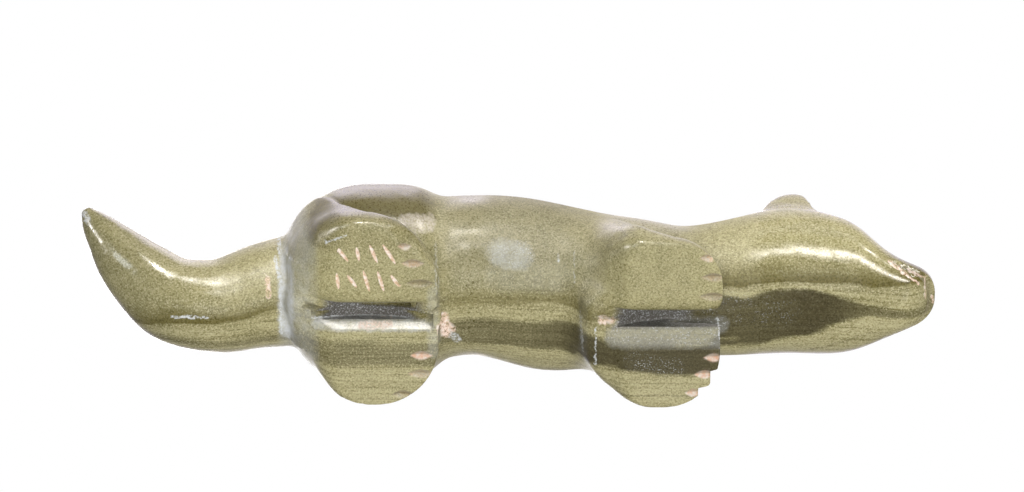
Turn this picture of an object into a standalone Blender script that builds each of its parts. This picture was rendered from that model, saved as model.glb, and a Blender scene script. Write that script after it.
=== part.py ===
"""A weasel carved from one piece of banded serpentine, standing on four flat soles.

Lengths are in millimetres until a mesh is made. X runs to the nose, Y to the animal's left and Z up.
The origin lies on the plane of the soles, under the middle of the carving.
"""

import math
from collections import namedtuple

import bmesh
import bpy
import numpy as np

MM = 0.001

Section = namedtuple("Section", "x drift height half_width half_height")
TailPoint = namedtuple("TailPoint", "x y z radius")
Foot = namedtuple("Foot", "heel toe inner outer heel_radius toe_radius")
Cut = namedtuple("Cut", "x depth right left bevel_start bevel_end bevel_height bevel_width")
Claw = namedtuple("Claw", "x y length")

# Trunk, neck and head, from the rump to the nose.
TRUNK = (
    Section(-26.0, 0.0, 13.9, 8.8, 8.4),
    Section(-15.5, 0.0, 14.8, 10.2, 10.9),
    Section(-9.5, -0.4, 14.7, 10.3, 10.2),
    Section(-4.5, -0.9, 14.6, 10.15, 9.4),
    Section(2.2, 0.0, 14.4, 10.8, 9.4),
    Section(8.5, 0.7, 14.1, 10.3, 9.5),
    Section(14.0, 0.65, 13.7, 9.1, 9.2),
    Section(20.5, 0.55, 13.0, 8.0, 8.2),
    Section(25.0, 0.45, 12.7, 8.3, 7.6),
    Section(30.5, 0.0, 13.3, 8.9, 7.6),
    Section(36.5, -0.2, 14.3, 9.2, 7.8),
    Section(40.5, 0.0, 13.8, 8.95, 7.4),
    Section(44.4, 0.1, 12.3, 7.85, 6.3),
    Section(47.7, 0.2, 10.0, 5.65, 4.8),
    Section(51.0, -0.05, 8.5, 3.95, 3.7),
    Section(54.3, -0.45, 8.1, 2.3, 2.8),
)
ROUNDNESS = 2.15
NOSE_X = 53.9
CHIN_SET_BACK = 2.0
CHIN_SLOPE_HEIGHT = 2.4
LIP_HEIGHT = 8.0
LIP_THICKNESS = 0.6
MUZZLE_SOFT = 2.2
RUMP_X = -24.5
RUMP_SOFT = 3.0

# The tail's centre line, from inside the rump to its tip.
TAIL = (
    TailPoint(-25.5, 0.5, 13.4, 7.1),
    TailPoint(-27.5, 0.6, 12.6, 7.0),
    TailPoint(-32.6, 1.1, 10.8, 6.35),
    TailPoint(-35.9, 1.6, 9.6, 6.0),
    TailPoint(-38.9, 1.4, 9.0, 5.75),
    TailPoint(-42.5, 0.5, 9.0, 5.35),
    TailPoint(-45.3, -1.5, 9.6, 4.7),
    TailPoint(-48.2, -3.9, 10.8, 3.8),
    TailPoint(-50.6, -6.4, 12.2, 2.6),
    TailPoint(-52.1, -7.95, 13.1, 1.75),
    TailPoint(-53.0, -9.1, 13.6, 0.95),
)
TAIL_STEPS = 48

# Haunches: one egg across both, blunt in front where it stands off the flank.
HAUNCH_X = -16.8
HAUNCH_DRIFT = -0.15
HAUNCH_HEIGHT = 14.0
HAUNCH_AHEAD = 9.2
HAUNCH_BEHIND = 11.5
HAUNCH_HALF_WIDTH = 12.5
HAUNCH_HALF_HEIGHT = 11.2
HAUNCH_BLUNT_AHEAD = 4.0
HAUNCH_BLUNT_BEHIND = 2.5

# Shoulders, one on each side of the neck's root.
SHOULDER_X = 15.5
SHOULDER_SIDE = 4.3
SHOULDER_HEIGHT = 9.5
SHOULDER_RADII = (7.5, 4.3, 7.0)

# Feet as outlines on the ground. The two of a pair overlap in the middle, where a wheel cut parts them.
HIND_RIGHT = Foot(-27.4, -8.6, 1.0, -12.6, 9.0, 9.0)
HIND_LEFT = Foot(-27.0, -8.6, -1.0, 11.75, 10.4, 7.8)
FORE_RIGHT = Foot(12.9, 26.7, 1.5, -9.6, 4.4, 5.4)
FORE_LEFT = Foot(10.4, 26.45, -1.5, 12.2, 8.4, 7.0)
INNER_RADIUS = 1.0
SOLE_SOFT = 0.7

# Hind legs: heights of leg and toes, where the ankle falls to the toes, and the round heels.
HIND_LEG_TOP = 12.5
HIND_TOE_TOP = 5.0
HIND_TOP_SOFT = 1.5
HIND_ANKLE_X = -17.5
HIND_ANKLE_LENGTH = 4.0
HEEL_X = -18.5
HEEL_LENGTH = 7.5
HEEL_SOFT = 6.5

# Forelegs: the pads rise from the toes, and the ankle falls to them.
FORE_LEG_TOP = 8.5
FORE_TOE_TOP = 2.3
FORE_TOP_SOFT = 0.8
FORE_PAD_RISE = 0.16
FORE_ANKLE_X = 17.0
FORE_ANKLE_LENGTH = 4.5
# The outer toes of the left forefoot step back at these places across.
TOE_STEP_SIDES = (7.0, 9.2)
TOE_STEP_BACKS = (1.15, 1.5)
TOE_STEP_WIDTH = 0.35

# Wheel cuts between the feet, and the sawn bevel along the inner edge of each left sole.
WHEEL_RADIUS = 11.8
WHEEL_SIDES = 72
HIND_CUT = Cut(-17.4, 3.0, -1.1, 0.9, -24.4, -9.2, 1.3, 1.2)
FORE_CUT = Cut(21.8, 4.7, -0.1, 1.9, 12.3, 30.0, 1.4, 2.45)

# Claw notches, a row a foot.
CLAWS = (
    (Claw(-12.6, -8.9, 1.8), Claw(-11.7, -6.7, 2.7), Claw(-10.8, -4.1, 3.5)),
    (Claw(-10.7, 5.2, 2.6), Claw(-10.7, 7.6, 3.3), Claw(-13.0, 10.3, 2.6)),
    (Claw(25.0, -7.4, 2.3), Claw(25.6, -4.9, 3.0), Claw(25.5, -2.4, 3.3)),
    (Claw(25.7, 5.5, 2.4), Claw(24.6, 7.7, 2.5), Claw(23.2, 10.1, 2.0)),
)
CLAW_DEPTH = 0.5
CLAW_HALF_WIDTH = 0.48
CLAW_SIDES = 24

# Ears: a leaf of stone on each side of the skull, cut off steep in front.
EAR_X = 36.0
EAR_SIDE = 6.85
EAR_HEIGHT = 18.6
EAR_RADII = (3.9, 1.35, 6.8)
EAR_LEAN_OUT = 14
EAR_LEAN_AHEAD = 12
EAR_FRONT_X = 39.8
EAR_FRONT_TILT = 16
EAR_FRONT_BULGE = 0.02

# Mouth: a groove round the muzzle at lip height, as wide as this many degrees to each side of the nose.
MOUTH_CENTRE_X = 50.6
MOUTH_REACH = 118
MOUTH_DEPTH = 0.45
MOUTH_HALF_WIDTH = 0.35
MOUTH_STEPS = 41
MOUTH_FADE_STEPS = 5
MOUTH_FADE_LEAST = 0.2

# Eyes: drilled pits, this many degrees above the sides of the head.
EYE_X = 45.0
EYE_RADIUS = 0.95
EYE_ANGLE = 38
EYE_PROUD = 0.35

# Softness of the joins between the masses.
HAUNCH_JOIN = 1.6
HIND_JOIN = 2.2
FORE_JOIN = 3.6
TOE_JOIN = 0.8
FORE_JOIN_X = 22.4
TAIL_JOIN = 0.5
SHOULDER_JOIN = 3.0

# The skin of the solid: columns round the body, closer together below, and the spacing of its rings.
COLUMNS = 42
COLUMN_BIAS = 0.38
RING_GAP = 1.9
TAIL_GAP = 1.6
TAIL_TURN_X = -35.6
TAIL_TURN_LENGTH = 10.0
WALL_GAP = 0.06
CAP_RINGS = 4
NOSE_CAP = 3.4
# Rays leave from no higher than this between the haunches and the neck, to see under the legs' bulges.
RAY_HEIGHT = 11.0
RAY_FROM = (-25.0, -20.0)
RAY_TO = (28.0, 36.0)
# How far the rays look for the skin, in what strides, and how often the last stride is halved.
REACH = HAUNCH_HEIGHT + HAUNCH_HALF_HEIGHT
STRIDE = 0.5
HALVINGS = 24
# Stone left under the toes and heels until the soles are ground flat, and over the toes.
TOE_SPARE = 2.0
HEEL_SPARE = -0.5
THROAT_SPARE = 0.6
# Room between the throat cut and the neck, and how much of the neck's width it goes round.
THROAT_GAP = 0.15
THROAT_SHARE = 0.78
THROAT_SECTIONS = 9
THROAT_STEPS = 15

STONE_COLOUR = (0.27, 0.26, 0.09, 1.0)
STONE_ROUGHNESS = 0.3


def spline(at, stations, values):
    """A natural cubic through the stations, held at its end values beyond them."""
    x = np.asarray(stations, float)
    y = np.asarray(values, float)
    step = np.diff(x)
    slope = np.diff(y) / step
    system = np.eye(len(x))
    load = np.zeros(len(x))
    for i in range(1, len(x) - 1):
        system[i, i - 1 : i + 2] = step[i - 1], 2 * (step[i - 1] + step[i]), step[i]
        load[i] = 6 * (slope[i] - slope[i - 1])
    bend = np.linalg.solve(system, load)
    at = np.clip(at, x[0], x[-1])
    i = np.clip(np.searchsorted(x, at) - 1, 0, len(x) - 2)
    left = at - x[i]
    right = x[i + 1] - at
    cubic = (bend[i] * right**3 + bend[i + 1] * left**3) / (6 * step[i])
    start = (y[i] / step[i] - bend[i] * step[i] / 6) * right
    end = (y[i + 1] / step[i] - bend[i + 1] * step[i] / 6) * left
    return cubic + start + end


def section_at(x):
    """Drift, height, half width and half height of the trunk at places along X."""
    table = np.array(TRUNK)
    return [spline(x, table[:, 0], table[:, k]) for k in (1, 2, 3, 4)]


def tail_line(count):
    """Points and radii along the tail, evenly spaced from the rump to the tip."""
    table = np.array(TAIL)
    gaps = np.linalg.norm(np.diff(table[:, :3], axis=0), axis=1)
    run = np.concatenate(([0.0], np.cumsum(gaps)))
    at = np.linspace(0, run[-1], count)
    return np.stack([spline(at, run, table[:, k]) for k in range(4)], 1)


def smooth_step(share):
    share = np.clip(share, 0, 1)
    return share**2 * (3 - 2 * share)


def join(a, b, soft):
    """Both forms as one, with a fillet where they meet."""
    share = np.clip(0.5 + 0.5 * (b - a) / soft, 0, 1)
    return b * (1 - share) + a * share - soft * share * (1 - share)


def common(a, b, soft):
    """What lies inside both forms, with a soft edge."""
    return -join(-a, -b, soft)


def ellipsoid(p, centre, radii):
    local = (p - np.asarray(centre)) / np.asarray(radii)
    near = np.sqrt((local**2).sum(1))
    slope = np.sqrt(((local / np.asarray(radii)) ** 2).sum(1)) + 1e-9
    return near * (near - 1) / slope


def haunches(p):
    """An egg, each of whose ends has its own length and bluntness."""
    local = p - np.array((HAUNCH_X, HAUNCH_DRIFT, HAUNCH_HEIGHT))
    front = local[:, 0] > 0
    length = np.where(front, HAUNCH_AHEAD, HAUNCH_BEHIND)
    power = np.where(front, HAUNCH_BLUNT_AHEAD, HAUNCH_BLUNT_BEHIND)
    u = np.abs(local[:, 0]) / length
    v = np.abs(local[:, 1]) / HAUNCH_HALF_WIDTH
    w = np.abs(local[:, 2]) / HAUNCH_HALF_HEIGHT
    side = (v**ROUNDNESS + w**ROUNDNESS) ** (1 / ROUNDNESS) + 1e-9
    size = (u**power + side**power) ** (1 / power) + 1e-9
    along = (u / size) ** (power - 1) / length
    out = (side / size) ** (power - 1)
    across = out * (v / side) ** (ROUNDNESS - 1) / HAUNCH_HALF_WIDTH
    up = out * (w / side) ** (ROUNDNESS - 1) / HAUNCH_HALF_HEIGHT
    return (size - 1) / np.sqrt(along**2 + across**2 + up**2 + 1e-12)


def trunk(p):
    """Trunk, neck and head, without haunches, legs and ears."""
    x, y, z = p.T
    drift, height, half_width, half_height = section_at(x)
    v = np.abs(y - drift) / half_width
    w = np.abs(z - height) / half_height
    size = (v**ROUNDNESS + w**ROUNDNESS) ** (1 / ROUNDNESS) + 1e-9
    across = (v / size) ** (ROUNDNESS - 1) / half_width
    up = (w / size) ** (ROUNDNESS - 1) / half_height
    side = (size - 1) / np.sqrt(across**2 + up**2)
    below_lip = (LIP_HEIGHT + LIP_THICKNESS - z) / CHIN_SLOPE_HEIGHT
    front = x - NOSE_X + CHIN_SET_BACK * np.clip(below_lip, 0, 1)
    return common(common(side, front, MUZZLE_SOFT), RUMP_X - x, RUMP_SOFT)


def tail(p):
    line = tail_line(TAIL_STEPS)
    nearest = np.full(len(p), 1e9)
    for start, end in zip(line[:-1], line[1:]):
        way = end[:3] - start[:3]
        share = np.clip((p - start[:3]) @ way / (way @ way), 0, 1)
        off = p - start[:3] - share[:, None] * way
        radius = start[3] + share * (end[3] - start[3])
        nearest = np.minimum(nearest, np.sqrt((off**2).sum(1)) - radius)
    return nearest


def outline(p, foot):
    """Distance outside a foot's outline, seen from below."""
    side = math.copysign(1, foot.outer)
    x = p[:, 0] - (foot.heel + foot.toe) / 2
    y = side * (p[:, 1] - (foot.inner + foot.outer) / 2)
    outer_radius = np.where(x > 0, foot.toe_radius, foot.heel_radius)
    radius = np.where(y > 0, outer_radius, INNER_RADIUS)
    dx = np.abs(x) - (foot.toe - foot.heel) / 2 + radius
    dy = np.abs(y) - abs(foot.outer - foot.inner) / 2 + radius
    beyond = np.hypot(np.maximum(dx, 0), np.maximum(dy, 0))
    return np.minimum(np.maximum(dx, dy), 0) + beyond - radius


def fore_outline(p, foot):
    """A forefoot's outline; the outer toes of the left one step back."""
    plan = outline(p, foot)
    if foot is not FORE_LEFT:
        return plan
    front = np.full(len(p), foot.toe)
    for side, back in zip(TOE_STEP_SIDES, TOE_STEP_BACKS):
        front = front - back * np.clip((p[:, 1] - side) / TOE_STEP_WIDTH, 0, 1)
    return np.maximum(plan, p[:, 0] - front)


def heel_share(x):
    """0 under the hind feet, 1 at their heels, where the soles round up to the tail."""
    return smooth_step((HEEL_X - x) / HEEL_LENGTH)


def hind_foot(p, foot, floor):
    x, z = p[:, 0], p[:, 2]
    leg = smooth_step((HIND_ANKLE_X + HIND_ANKLE_LENGTH - x) / HIND_ANKLE_LENGTH)
    top = HIND_TOE_TOP + (HIND_LEG_TOP - HIND_TOE_TOP) * leg
    soft = SOLE_SOFT + (HEEL_SOFT - SOLE_SOFT) * heel_share(x)
    return common(common(outline(p, foot), z - top, HIND_TOP_SOFT), floor, soft)


def pad_top(x, foot):
    return FORE_TOE_TOP + FORE_PAD_RISE * (foot.toe - x)


def fore_top(x, foot):
    leg = smooth_step((FORE_ANKLE_X + FORE_ANKLE_LENGTH - x) / FORE_ANKLE_LENGTH)
    pad = pad_top(x, foot)
    return pad + (FORE_LEG_TOP - pad) * leg


def fore_join(x):
    """Softness of the foreleg's join, less towards the toes."""
    behind = FORE_JOIN_X - x
    return TOE_JOIN + (FORE_JOIN - TOE_JOIN) * smooth_step(behind / FORE_ANKLE_LENGTH)


def throat(x):
    """Height of the neck's underside."""
    _, height, _, half_height = section_at(x)
    return height - half_height


def block(p):
    """Distance outside the carving before soles, slots and throat are cut."""
    x, z = p[:, 0], p[:, 2]
    heel = heel_share(x)
    floor = -z - TOE_SPARE * (1 - heel) - HEEL_SPARE * heel
    shape = join(trunk(p), haunches(p), HAUNCH_JOIN)
    for side in (-1, 1):
        centre = (SHOULDER_X, side * SHOULDER_SIDE, SHOULDER_HEIGHT)
        shape = join(shape, ellipsoid(p, centre, SHOULDER_RADII), SHOULDER_JOIN)
    for foot in (HIND_RIGHT, HIND_LEFT):
        shape = join(shape, hind_foot(p, foot, floor), HIND_JOIN)
    for foot in (FORE_RIGHT, FORE_LEFT):
        top = np.maximum(fore_top(x, foot), throat(x) + THROAT_SPARE)
        leg = common(fore_outline(p, foot), z - top, FORE_TOP_SOFT)
        shape = join(shape, common(leg, floor, SOLE_SOFT), fore_join(x))
    return join(shape, tail(p), TAIL_JOIN)


def march(form, origins, ways):
    """Where rays that start inside a form leave it."""
    inside = np.zeros(len(origins))
    outside = np.full(len(origins), REACH)
    going = np.ones(len(origins), bool)
    for far in np.arange(STRIDE, REACH, STRIDE):
        out = going & (form(origins + far * ways) > 0)
        outside[out] = far
        going &= ~out
        inside[going] = far
    for _ in range(HALVINGS):
        middle = (inside + outside) / 2
        out = form(origins + middle[:, None] * ways) > 0
        outside = np.where(out, middle, outside)
        inside = np.where(out, inside, middle)
    return origins + inside[:, None] * ways


def ring_places():
    """Places of the trunk's rings along X, in close pairs where a foot's end wall stands."""
    start = TAIL[0].x
    end = NOSE_X - NOSE_CAP
    places = list(np.arange(start, end, RING_GAP)) + [end]
    walls = [HIND_RIGHT.toe, HIND_LEFT.toe, FORE_RIGHT.heel, FORE_LEFT.heel, FORE_RIGHT.toe]
    for count in range(len(TOE_STEP_BACKS) + 1):
        walls.append(FORE_LEFT.toe - sum(TOE_STEP_BACKS[:count]))
    for wall in walls:
        places = [x for x in places if abs(x - wall) > 10 * WALL_GAP]
        places += [wall - WALL_GAP, wall + WALL_GAP]
    places.sort()
    kept = places[:1]
    for x in places[1:]:
        if x - kept[-1] > WALL_GAP:
            kept.append(x)
    return kept


def ring_frames():
    """Centre and direction of each ring, from the tip of the tail to the nose."""
    along = np.array((1.0, 0.0, 0.0))
    gaps = np.linalg.norm(np.diff(tail_line(200)[:, :3], axis=0), axis=1)
    line = tail_line(round(gaps.sum() / TAIL_GAP))[:, :3]
    frames = []
    for i in range(len(line) - 2, 0, -1):
        way = line[i - 1] - line[i + 1]
        way /= np.linalg.norm(way)
        way = way + (along - way) * smooth_step((line[i][0] - TAIL_TURN_X) / TAIL_TURN_LENGTH)
        frames.append((line[i], way / np.linalg.norm(way)))
    for x in ring_places():
        drift, height, _, _ = section_at(x)
        low = smooth_step((x - RAY_FROM[0]) / (RAY_FROM[1] - RAY_FROM[0]))
        low *= smooth_step((RAY_TO[1] - x) / (RAY_TO[1] - RAY_TO[0]))
        height += (min(height, RAY_HEIGHT) - height) * low
        frames.append((np.array((x, drift, height)), along))
    return frames


def ring_rays(centre, way, leans):
    """Rings of rays round a centre, each leaning by an angle towards the direction it faces."""
    across = np.array((0.0, 1.0, 0.0))
    across = across - way * (across @ way)
    across /= np.linalg.norm(across)
    turns = np.arange(COLUMNS) * 2 * np.pi / COLUMNS
    turns -= COLUMN_BIAS * np.cos(turns)
    spokes = np.cos(turns)[:, None] * across + np.sin(turns)[:, None] * np.cross(way, across)
    return [
        (np.tile(centre, (COLUMNS, 1)), math.cos(lean) * spokes + math.sin(lean) * way)
        for lean in leans
    ]


def skin():
    """Vertices and faces of the block: rings along the body, closed by a point at each end."""
    frames = ring_frames()
    leans = [k / (CAP_RINGS + 1) * math.pi / 2 for k in range(1, CAP_RINGS + 1)]
    tip, tip_way = frames[0]
    nose, nose_way = frames[-1]
    rays = [(tip[None], -tip_way[None])]
    rays += ring_rays(tip, tip_way, [-lean for lean in reversed(leans)])
    for centre, way in frames:
        rays += ring_rays(centre, way, [0.0])
    rays += ring_rays(nose, nose_way, leans)
    rays.append((nose[None], nose_way[None]))
    origins = np.concatenate([ray[0] for ray in rays])
    ways = np.concatenate([ray[1] for ray in rays])
    faces = []
    rings = len(rays) - 2
    for ring in range(rings - 1):
        for column in range(COLUMNS):
            a = 1 + ring * COLUMNS + column
            b = 1 + ring * COLUMNS + (column + 1) % COLUMNS
            faces.append((a, b, b + COLUMNS, a + COLUMNS))
    last = 1 + (rings - 1) * COLUMNS
    for column in range(COLUMNS):
        beside = (column + 1) % COLUMNS
        faces.append((0, 1 + beside, 1 + column))
        faces.append((last + column, last + beside, last + COLUMNS))
    return march(block, origins, ways), faces


def link(name, mesh):
    made = bpy.data.objects.new(name, mesh)
    bpy.context.scene.collection.objects.link(made)
    return made


def solid(name, points, faces):
    """A mesh object from points in millimetres, with its faces turned outward."""
    mesh = bpy.data.meshes.new(name)
    mesh.from_pydata((np.asarray(points) * MM).tolist(), [], faces)
    shape = bmesh.new()
    shape.from_mesh(mesh)
    bmesh.ops.recalc_face_normals(shape, faces=shape.faces)
    shape.to_mesh(mesh)
    shape.free()
    return link(name, mesh)


def joined(name, parts):
    """Several closed solids in one mesh."""
    shape = bmesh.new()
    for part in parts:
        shape.from_mesh(part.data)
        bpy.data.objects.remove(part)
    mesh = bpy.data.meshes.new(name)
    shape.to_mesh(mesh)
    shape.free()
    return link(name, mesh)


def loft(name, sections):
    """A closed solid through sections of equally many points."""
    count = len(sections[0])
    points = np.concatenate(sections)
    faces = [tuple(range(count)), tuple(range(len(points) - count, len(points)))]
    for section in range(len(sections) - 1):
        for corner in range(count):
            a = section * count + corner
            b = section * count + (corner + 1) % count
            faces.append((a, b, b + count, a + count))
    return solid(name, points, faces)


def wheel(name, centre, profile, sides):
    """A disc about an axle along Y; its profile lists radius and place along the axle."""
    turns = np.arange(sides) * 2 * np.pi / sides
    sections = []
    for radius, y in profile:
        x = centre[0] + radius * np.cos(turns)
        z = centre[2] + radius * np.sin(turns)
        sections.append(np.stack([x, np.full(sides, centre[1] + y), z], 1))
    return loft(name, sections)


def ball(name, centre, radii, sides, rows):
    """An ellipsoid with its poles along Z."""
    points = [np.array((0.0, 0.0, -1.0))]
    for row in range(1, rows):
        lean = -np.pi / 2 + row * np.pi / rows
        for column in range(sides):
            turn = column * 2 * np.pi / sides
            flat = math.cos(lean)
            points.append(np.array((math.cos(turn) * flat, math.sin(turn) * flat, math.sin(lean))))
    points.append(np.array((0.0, 0.0, 1.0)))
    last = 1 + (rows - 2) * sides
    faces = []
    for column in range(sides):
        beside = (column + 1) % sides
        faces.append((0, 1 + beside, 1 + column))
        faces.append((last + column, last + beside, len(points) - 1))
        for row in range(rows - 2):
            a = 1 + row * sides
            faces.append((a + column, a + beside, a + sides + beside, a + sides + column))
    return solid(name, centre + np.array(points) * radii, faces)


def bench():
    """The flat stone that the soles are ground on."""
    reach_x = 1.1 * NOSE_X
    reach_y = 2 * HAUNCH_HALF_WIDTH
    corners = [(-reach_x, -reach_y), (reach_x, -reach_y), (reach_x, reach_y), (-reach_x, reach_y)]
    return loft("bench", [np.array([(x, y, z) for x, y in corners]) for z in (-3 * TOE_SPARE, 0.0)])


def throat_cut():
    """The space between the fore toes and the neck above them, arched to clear the neck."""
    toe = max(FORE_RIGHT.toe, FORE_LEFT.toe)
    start = FORE_ANKLE_X + FORE_ANKLE_LENGTH
    wide = max(abs(FORE_RIGHT.outer), abs(FORE_LEFT.outer)) + TOE_SPARE
    sections = []
    for x in np.linspace(start, toe + 2 * TOE_SPARE, THROAT_SECTIONS):
        drift, height, half_width, half_height = section_at(x)
        low = pad_top(min(x, toe), FORE_RIGHT)
        arch = []
        for share in np.linspace(THROAT_SHARE, -THROAT_SHARE, THROAT_STEPS):
            down = (1 - abs(share) ** ROUNDNESS) ** (1 / ROUNDNESS)
            y = drift + (half_width + THROAT_GAP) * share
            arch.append((x, y, height - (half_height + THROAT_GAP) * down))
        top = arch[0][2]
        floor = [(x, -wide, low), (x, wide, low), (x, wide, top)]
        sections.append(np.array(floor + arch + [(x, -wide, top)]))
    return loft("throat_cut", sections)


def slot(name, cut):
    profile = [(WHEEL_RADIUS, cut.right), (WHEEL_RADIUS, cut.left)]
    return wheel(name, (cut.x, 0.0, cut.depth - WHEEL_RADIUS), profile, WHEEL_SIDES)


def bevel(name, cut):
    """A wedge along the left wall of a slot, running on below the sole and into the slot."""
    slope = cut.bevel_height / cut.bevel_width
    inner = (cut.right + cut.left) / 2
    low = -TOE_SPARE
    corners = [
        (cut.left + cut.bevel_width - low / slope, low),
        (inner, low),
        (inner, cut.bevel_height),
        (cut.left, cut.bevel_height),
    ]
    places = (cut.bevel_start, cut.bevel_end)
    return loft(name, [np.array([(x, y, z) for y, z in corners]) for x in places])


def claw_cuts():
    """Small V-edged wheels, each as large as its notch is long."""
    discs = []
    for row in CLAWS:
        for claw in row:
            radius = claw.length**2 / (8 * CLAW_DEPTH) + CLAW_DEPTH / 2
            rim = radius - CLAW_DEPTH
            profile = [(rim, -CLAW_HALF_WIDTH), (radius, 0), (rim, CLAW_HALF_WIDTH)]
            centre = (claw.x, claw.y, CLAW_DEPTH - radius)
            discs.append(wheel("claw", centre, profile, CLAW_SIDES))
    return joined("claw_cuts", discs)


def eye_pits():
    drift, height, _, _ = section_at(EYE_X)
    origin = np.array([(EYE_X, drift, height)])
    pits = []
    for angle in (EYE_ANGLE, 180 - EYE_ANGLE):
        turn = math.radians(angle)
        way = np.array([(0.0, math.cos(turn), math.sin(turn))])
        centre = march(trunk, origin, way)[0] + EYE_PROUD * EYE_RADIUS * way[0]
        pits.append(ball("eye", centre, np.full(3, EYE_RADIUS), 12, 8))
    return joined("eye_pits", pits)


def ear(side):
    out, ahead, tilt = (math.radians(a) for a in (EAR_LEAN_OUT, EAR_LEAN_AHEAD, EAR_FRONT_TILT))
    up = np.array((math.sin(ahead), side * math.sin(out), math.cos(out) * math.cos(ahead)))
    up /= np.linalg.norm(up)
    fore = np.array((1.0, 0.0, 0.0)) - up * up[0]
    fore /= np.linalg.norm(fore)
    root = np.array((EAR_X, side * EAR_SIDE, EAR_HEIGHT))
    made = ball("ear_left" if side > 0 else "ear_right", np.zeros(3), np.array(EAR_RADII), 16, 10)
    for vertex in made.data.vertices:
        x, y, z = np.array(vertex.co) / MM
        place = root + fore * x + np.cross(up, fore) * y + up * z
        front = EAR_FRONT_X - math.tan(tilt) * (place[2] - EAR_HEIGHT) + EAR_FRONT_BULGE * x
        place[0] = min(place[0], front)
        vertex.co = place * MM
    return made


def mouth_cut():
    """A groove with a V section along the skin of the muzzle, running out at both ends."""
    origin = np.array((MOUTH_CENTRE_X, TRUNK[-2].drift, LIP_HEIGHT))
    angles = np.radians(np.linspace(-MOUTH_REACH, MOUTH_REACH, MOUTH_STEPS))
    ways = np.stack([np.cos(angles), np.sin(angles), np.zeros(MOUTH_STEPS)], 1)
    path = march(trunk, np.tile(origin, (MOUTH_STEPS, 1)), ways)
    sections = []
    for i, (point, way) in enumerate(zip(path, ways)):
        fade = min(1.0, MOUTH_FADE_LEAST + min(i, MOUTH_STEPS - 1 - i) / MOUTH_FADE_STEPS)
        up = np.array((0, 0, 2 * MOUTH_HALF_WIDTH * fade))
        deep = way * MOUTH_DEPTH * fade
        sections.append(np.array([point - deep, point + deep + up, point + deep - up]))
    return loft("mouth_cut", sections)


def stone():
    made = bpy.data.materials.new("serpentine")
    made.use_nodes = True
    shader = made.node_tree.nodes["Principled BSDF"]
    shader.inputs["Base Color"].default_value = STONE_COLOUR
    shader.inputs["Roughness"].default_value = STONE_ROUGHNESS
    shader.inputs["Metallic"].default_value = 0.0
    return made


def carve(target, name, operation, tools):
    """Join or cut away a group of tools at once; they stay in the file as wire guides."""
    group = bpy.data.collections.new(name)
    for tool in tools:
        tool.hide_render = True
        tool.display_type = "WIRE"
        group.objects.link(tool)
    modifier = target.modifiers.new(name, "BOOLEAN")
    modifier.operation = operation
    modifier.solver = "EXACT"
    modifier.operand_type = "COLLECTION"
    modifier.collection = group


def weasel():
    made = solid("weasel_carving", *skin())
    made.data.materials.append(stone())
    carve(made, "ears", "UNION", [ear(-1), ear(1)])
    cuts = [throat_cut(), bench()]
    for pair, cut in (("hind", HIND_CUT), ("fore", FORE_CUT)):
        cuts += [slot(pair + "_slot", cut), bevel(pair + "_bevel", cut)]
    cuts += [claw_cuts(), mouth_cut(), eye_pits()]
    carve(made, "cuts", "DIFFERENCE", cuts)
    made.data.shade_smooth()
    made.data.set_sharp_from_angle(angle=math.radians(35))


def main():
    for old in list(bpy.data.objects):
        bpy.data.objects.remove(old)
    weasel()


main()
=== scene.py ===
"""Looks of the weasel carving: its fine form, its banded stone, and a pale studio.

Lengths are in millimetres until a mesh is made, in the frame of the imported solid.
"""

import math
from collections import namedtuple

import bmesh
import bpy
import numpy as np
from mathutils import Matrix, Vector

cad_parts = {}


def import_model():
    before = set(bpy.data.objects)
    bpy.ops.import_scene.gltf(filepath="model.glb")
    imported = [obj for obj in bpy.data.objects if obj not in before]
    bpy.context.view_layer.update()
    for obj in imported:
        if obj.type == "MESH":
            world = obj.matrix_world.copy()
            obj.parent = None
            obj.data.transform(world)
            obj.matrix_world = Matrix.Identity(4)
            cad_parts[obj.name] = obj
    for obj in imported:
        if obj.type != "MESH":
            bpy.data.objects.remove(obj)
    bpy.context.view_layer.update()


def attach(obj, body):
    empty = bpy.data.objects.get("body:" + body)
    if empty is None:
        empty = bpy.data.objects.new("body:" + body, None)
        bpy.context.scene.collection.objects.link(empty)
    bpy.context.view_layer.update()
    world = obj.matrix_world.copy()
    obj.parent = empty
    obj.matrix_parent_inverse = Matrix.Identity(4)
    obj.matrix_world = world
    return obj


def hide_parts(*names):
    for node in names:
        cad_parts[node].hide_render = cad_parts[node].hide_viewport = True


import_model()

MM = 0.001

Section = namedtuple("Section", "x drift height half_width half_height")
TailPoint = namedtuple("TailPoint", "x y z radius")
Foot = namedtuple("Foot", "heel toe inner outer heel_radius toe_radius")
Cut = namedtuple("Cut", "x depth right left bevel_start bevel_end bevel_height bevel_width")
Claw = namedtuple("Claw", "x y length bare")

# Trunk, neck and head, from the rump to the nose.
TRUNK = (
    Section(-26, 0, 13.9, 8.8, 8.4),
    Section(-15.5, 0, 14.8, 10.2, 10.9),
    Section(-9.5, -0.4, 14.7, 10.3, 10.2),
    Section(-4.5, -0.9, 14.6, 10.15, 9.4),
    Section(2.2, 0, 14.4, 10.8, 9.4),
    Section(8.5, 0.7, 14.1, 10.3, 9.5),
    Section(14, 0.65, 13.7, 9.1, 9.2),
    Section(20.5, 0.55, 13, 8, 8.2),
    Section(25, 0.45, 12.7, 8.3, 7.6),
    Section(30.5, 0, 13.3, 8.9, 7.6),
    Section(36.5, -0.2, 14.3, 9.2, 7.8),
    Section(40.5, 0, 13.8, 8.95, 7.4),
    Section(44.4, 0.1, 12.3, 7.85, 6.3),
    Section(47.7, 0.2, 10, 5.65, 4.8),
    Section(51, -0.05, 8.5, 3.95, 3.7),
    Section(54.3, -0.45, 8.1, 2.3, 2.8),
)
ROUNDNESS = 2.15
NOSE_X = 53.75
CHIN_SET_BACK = 2.0
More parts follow.
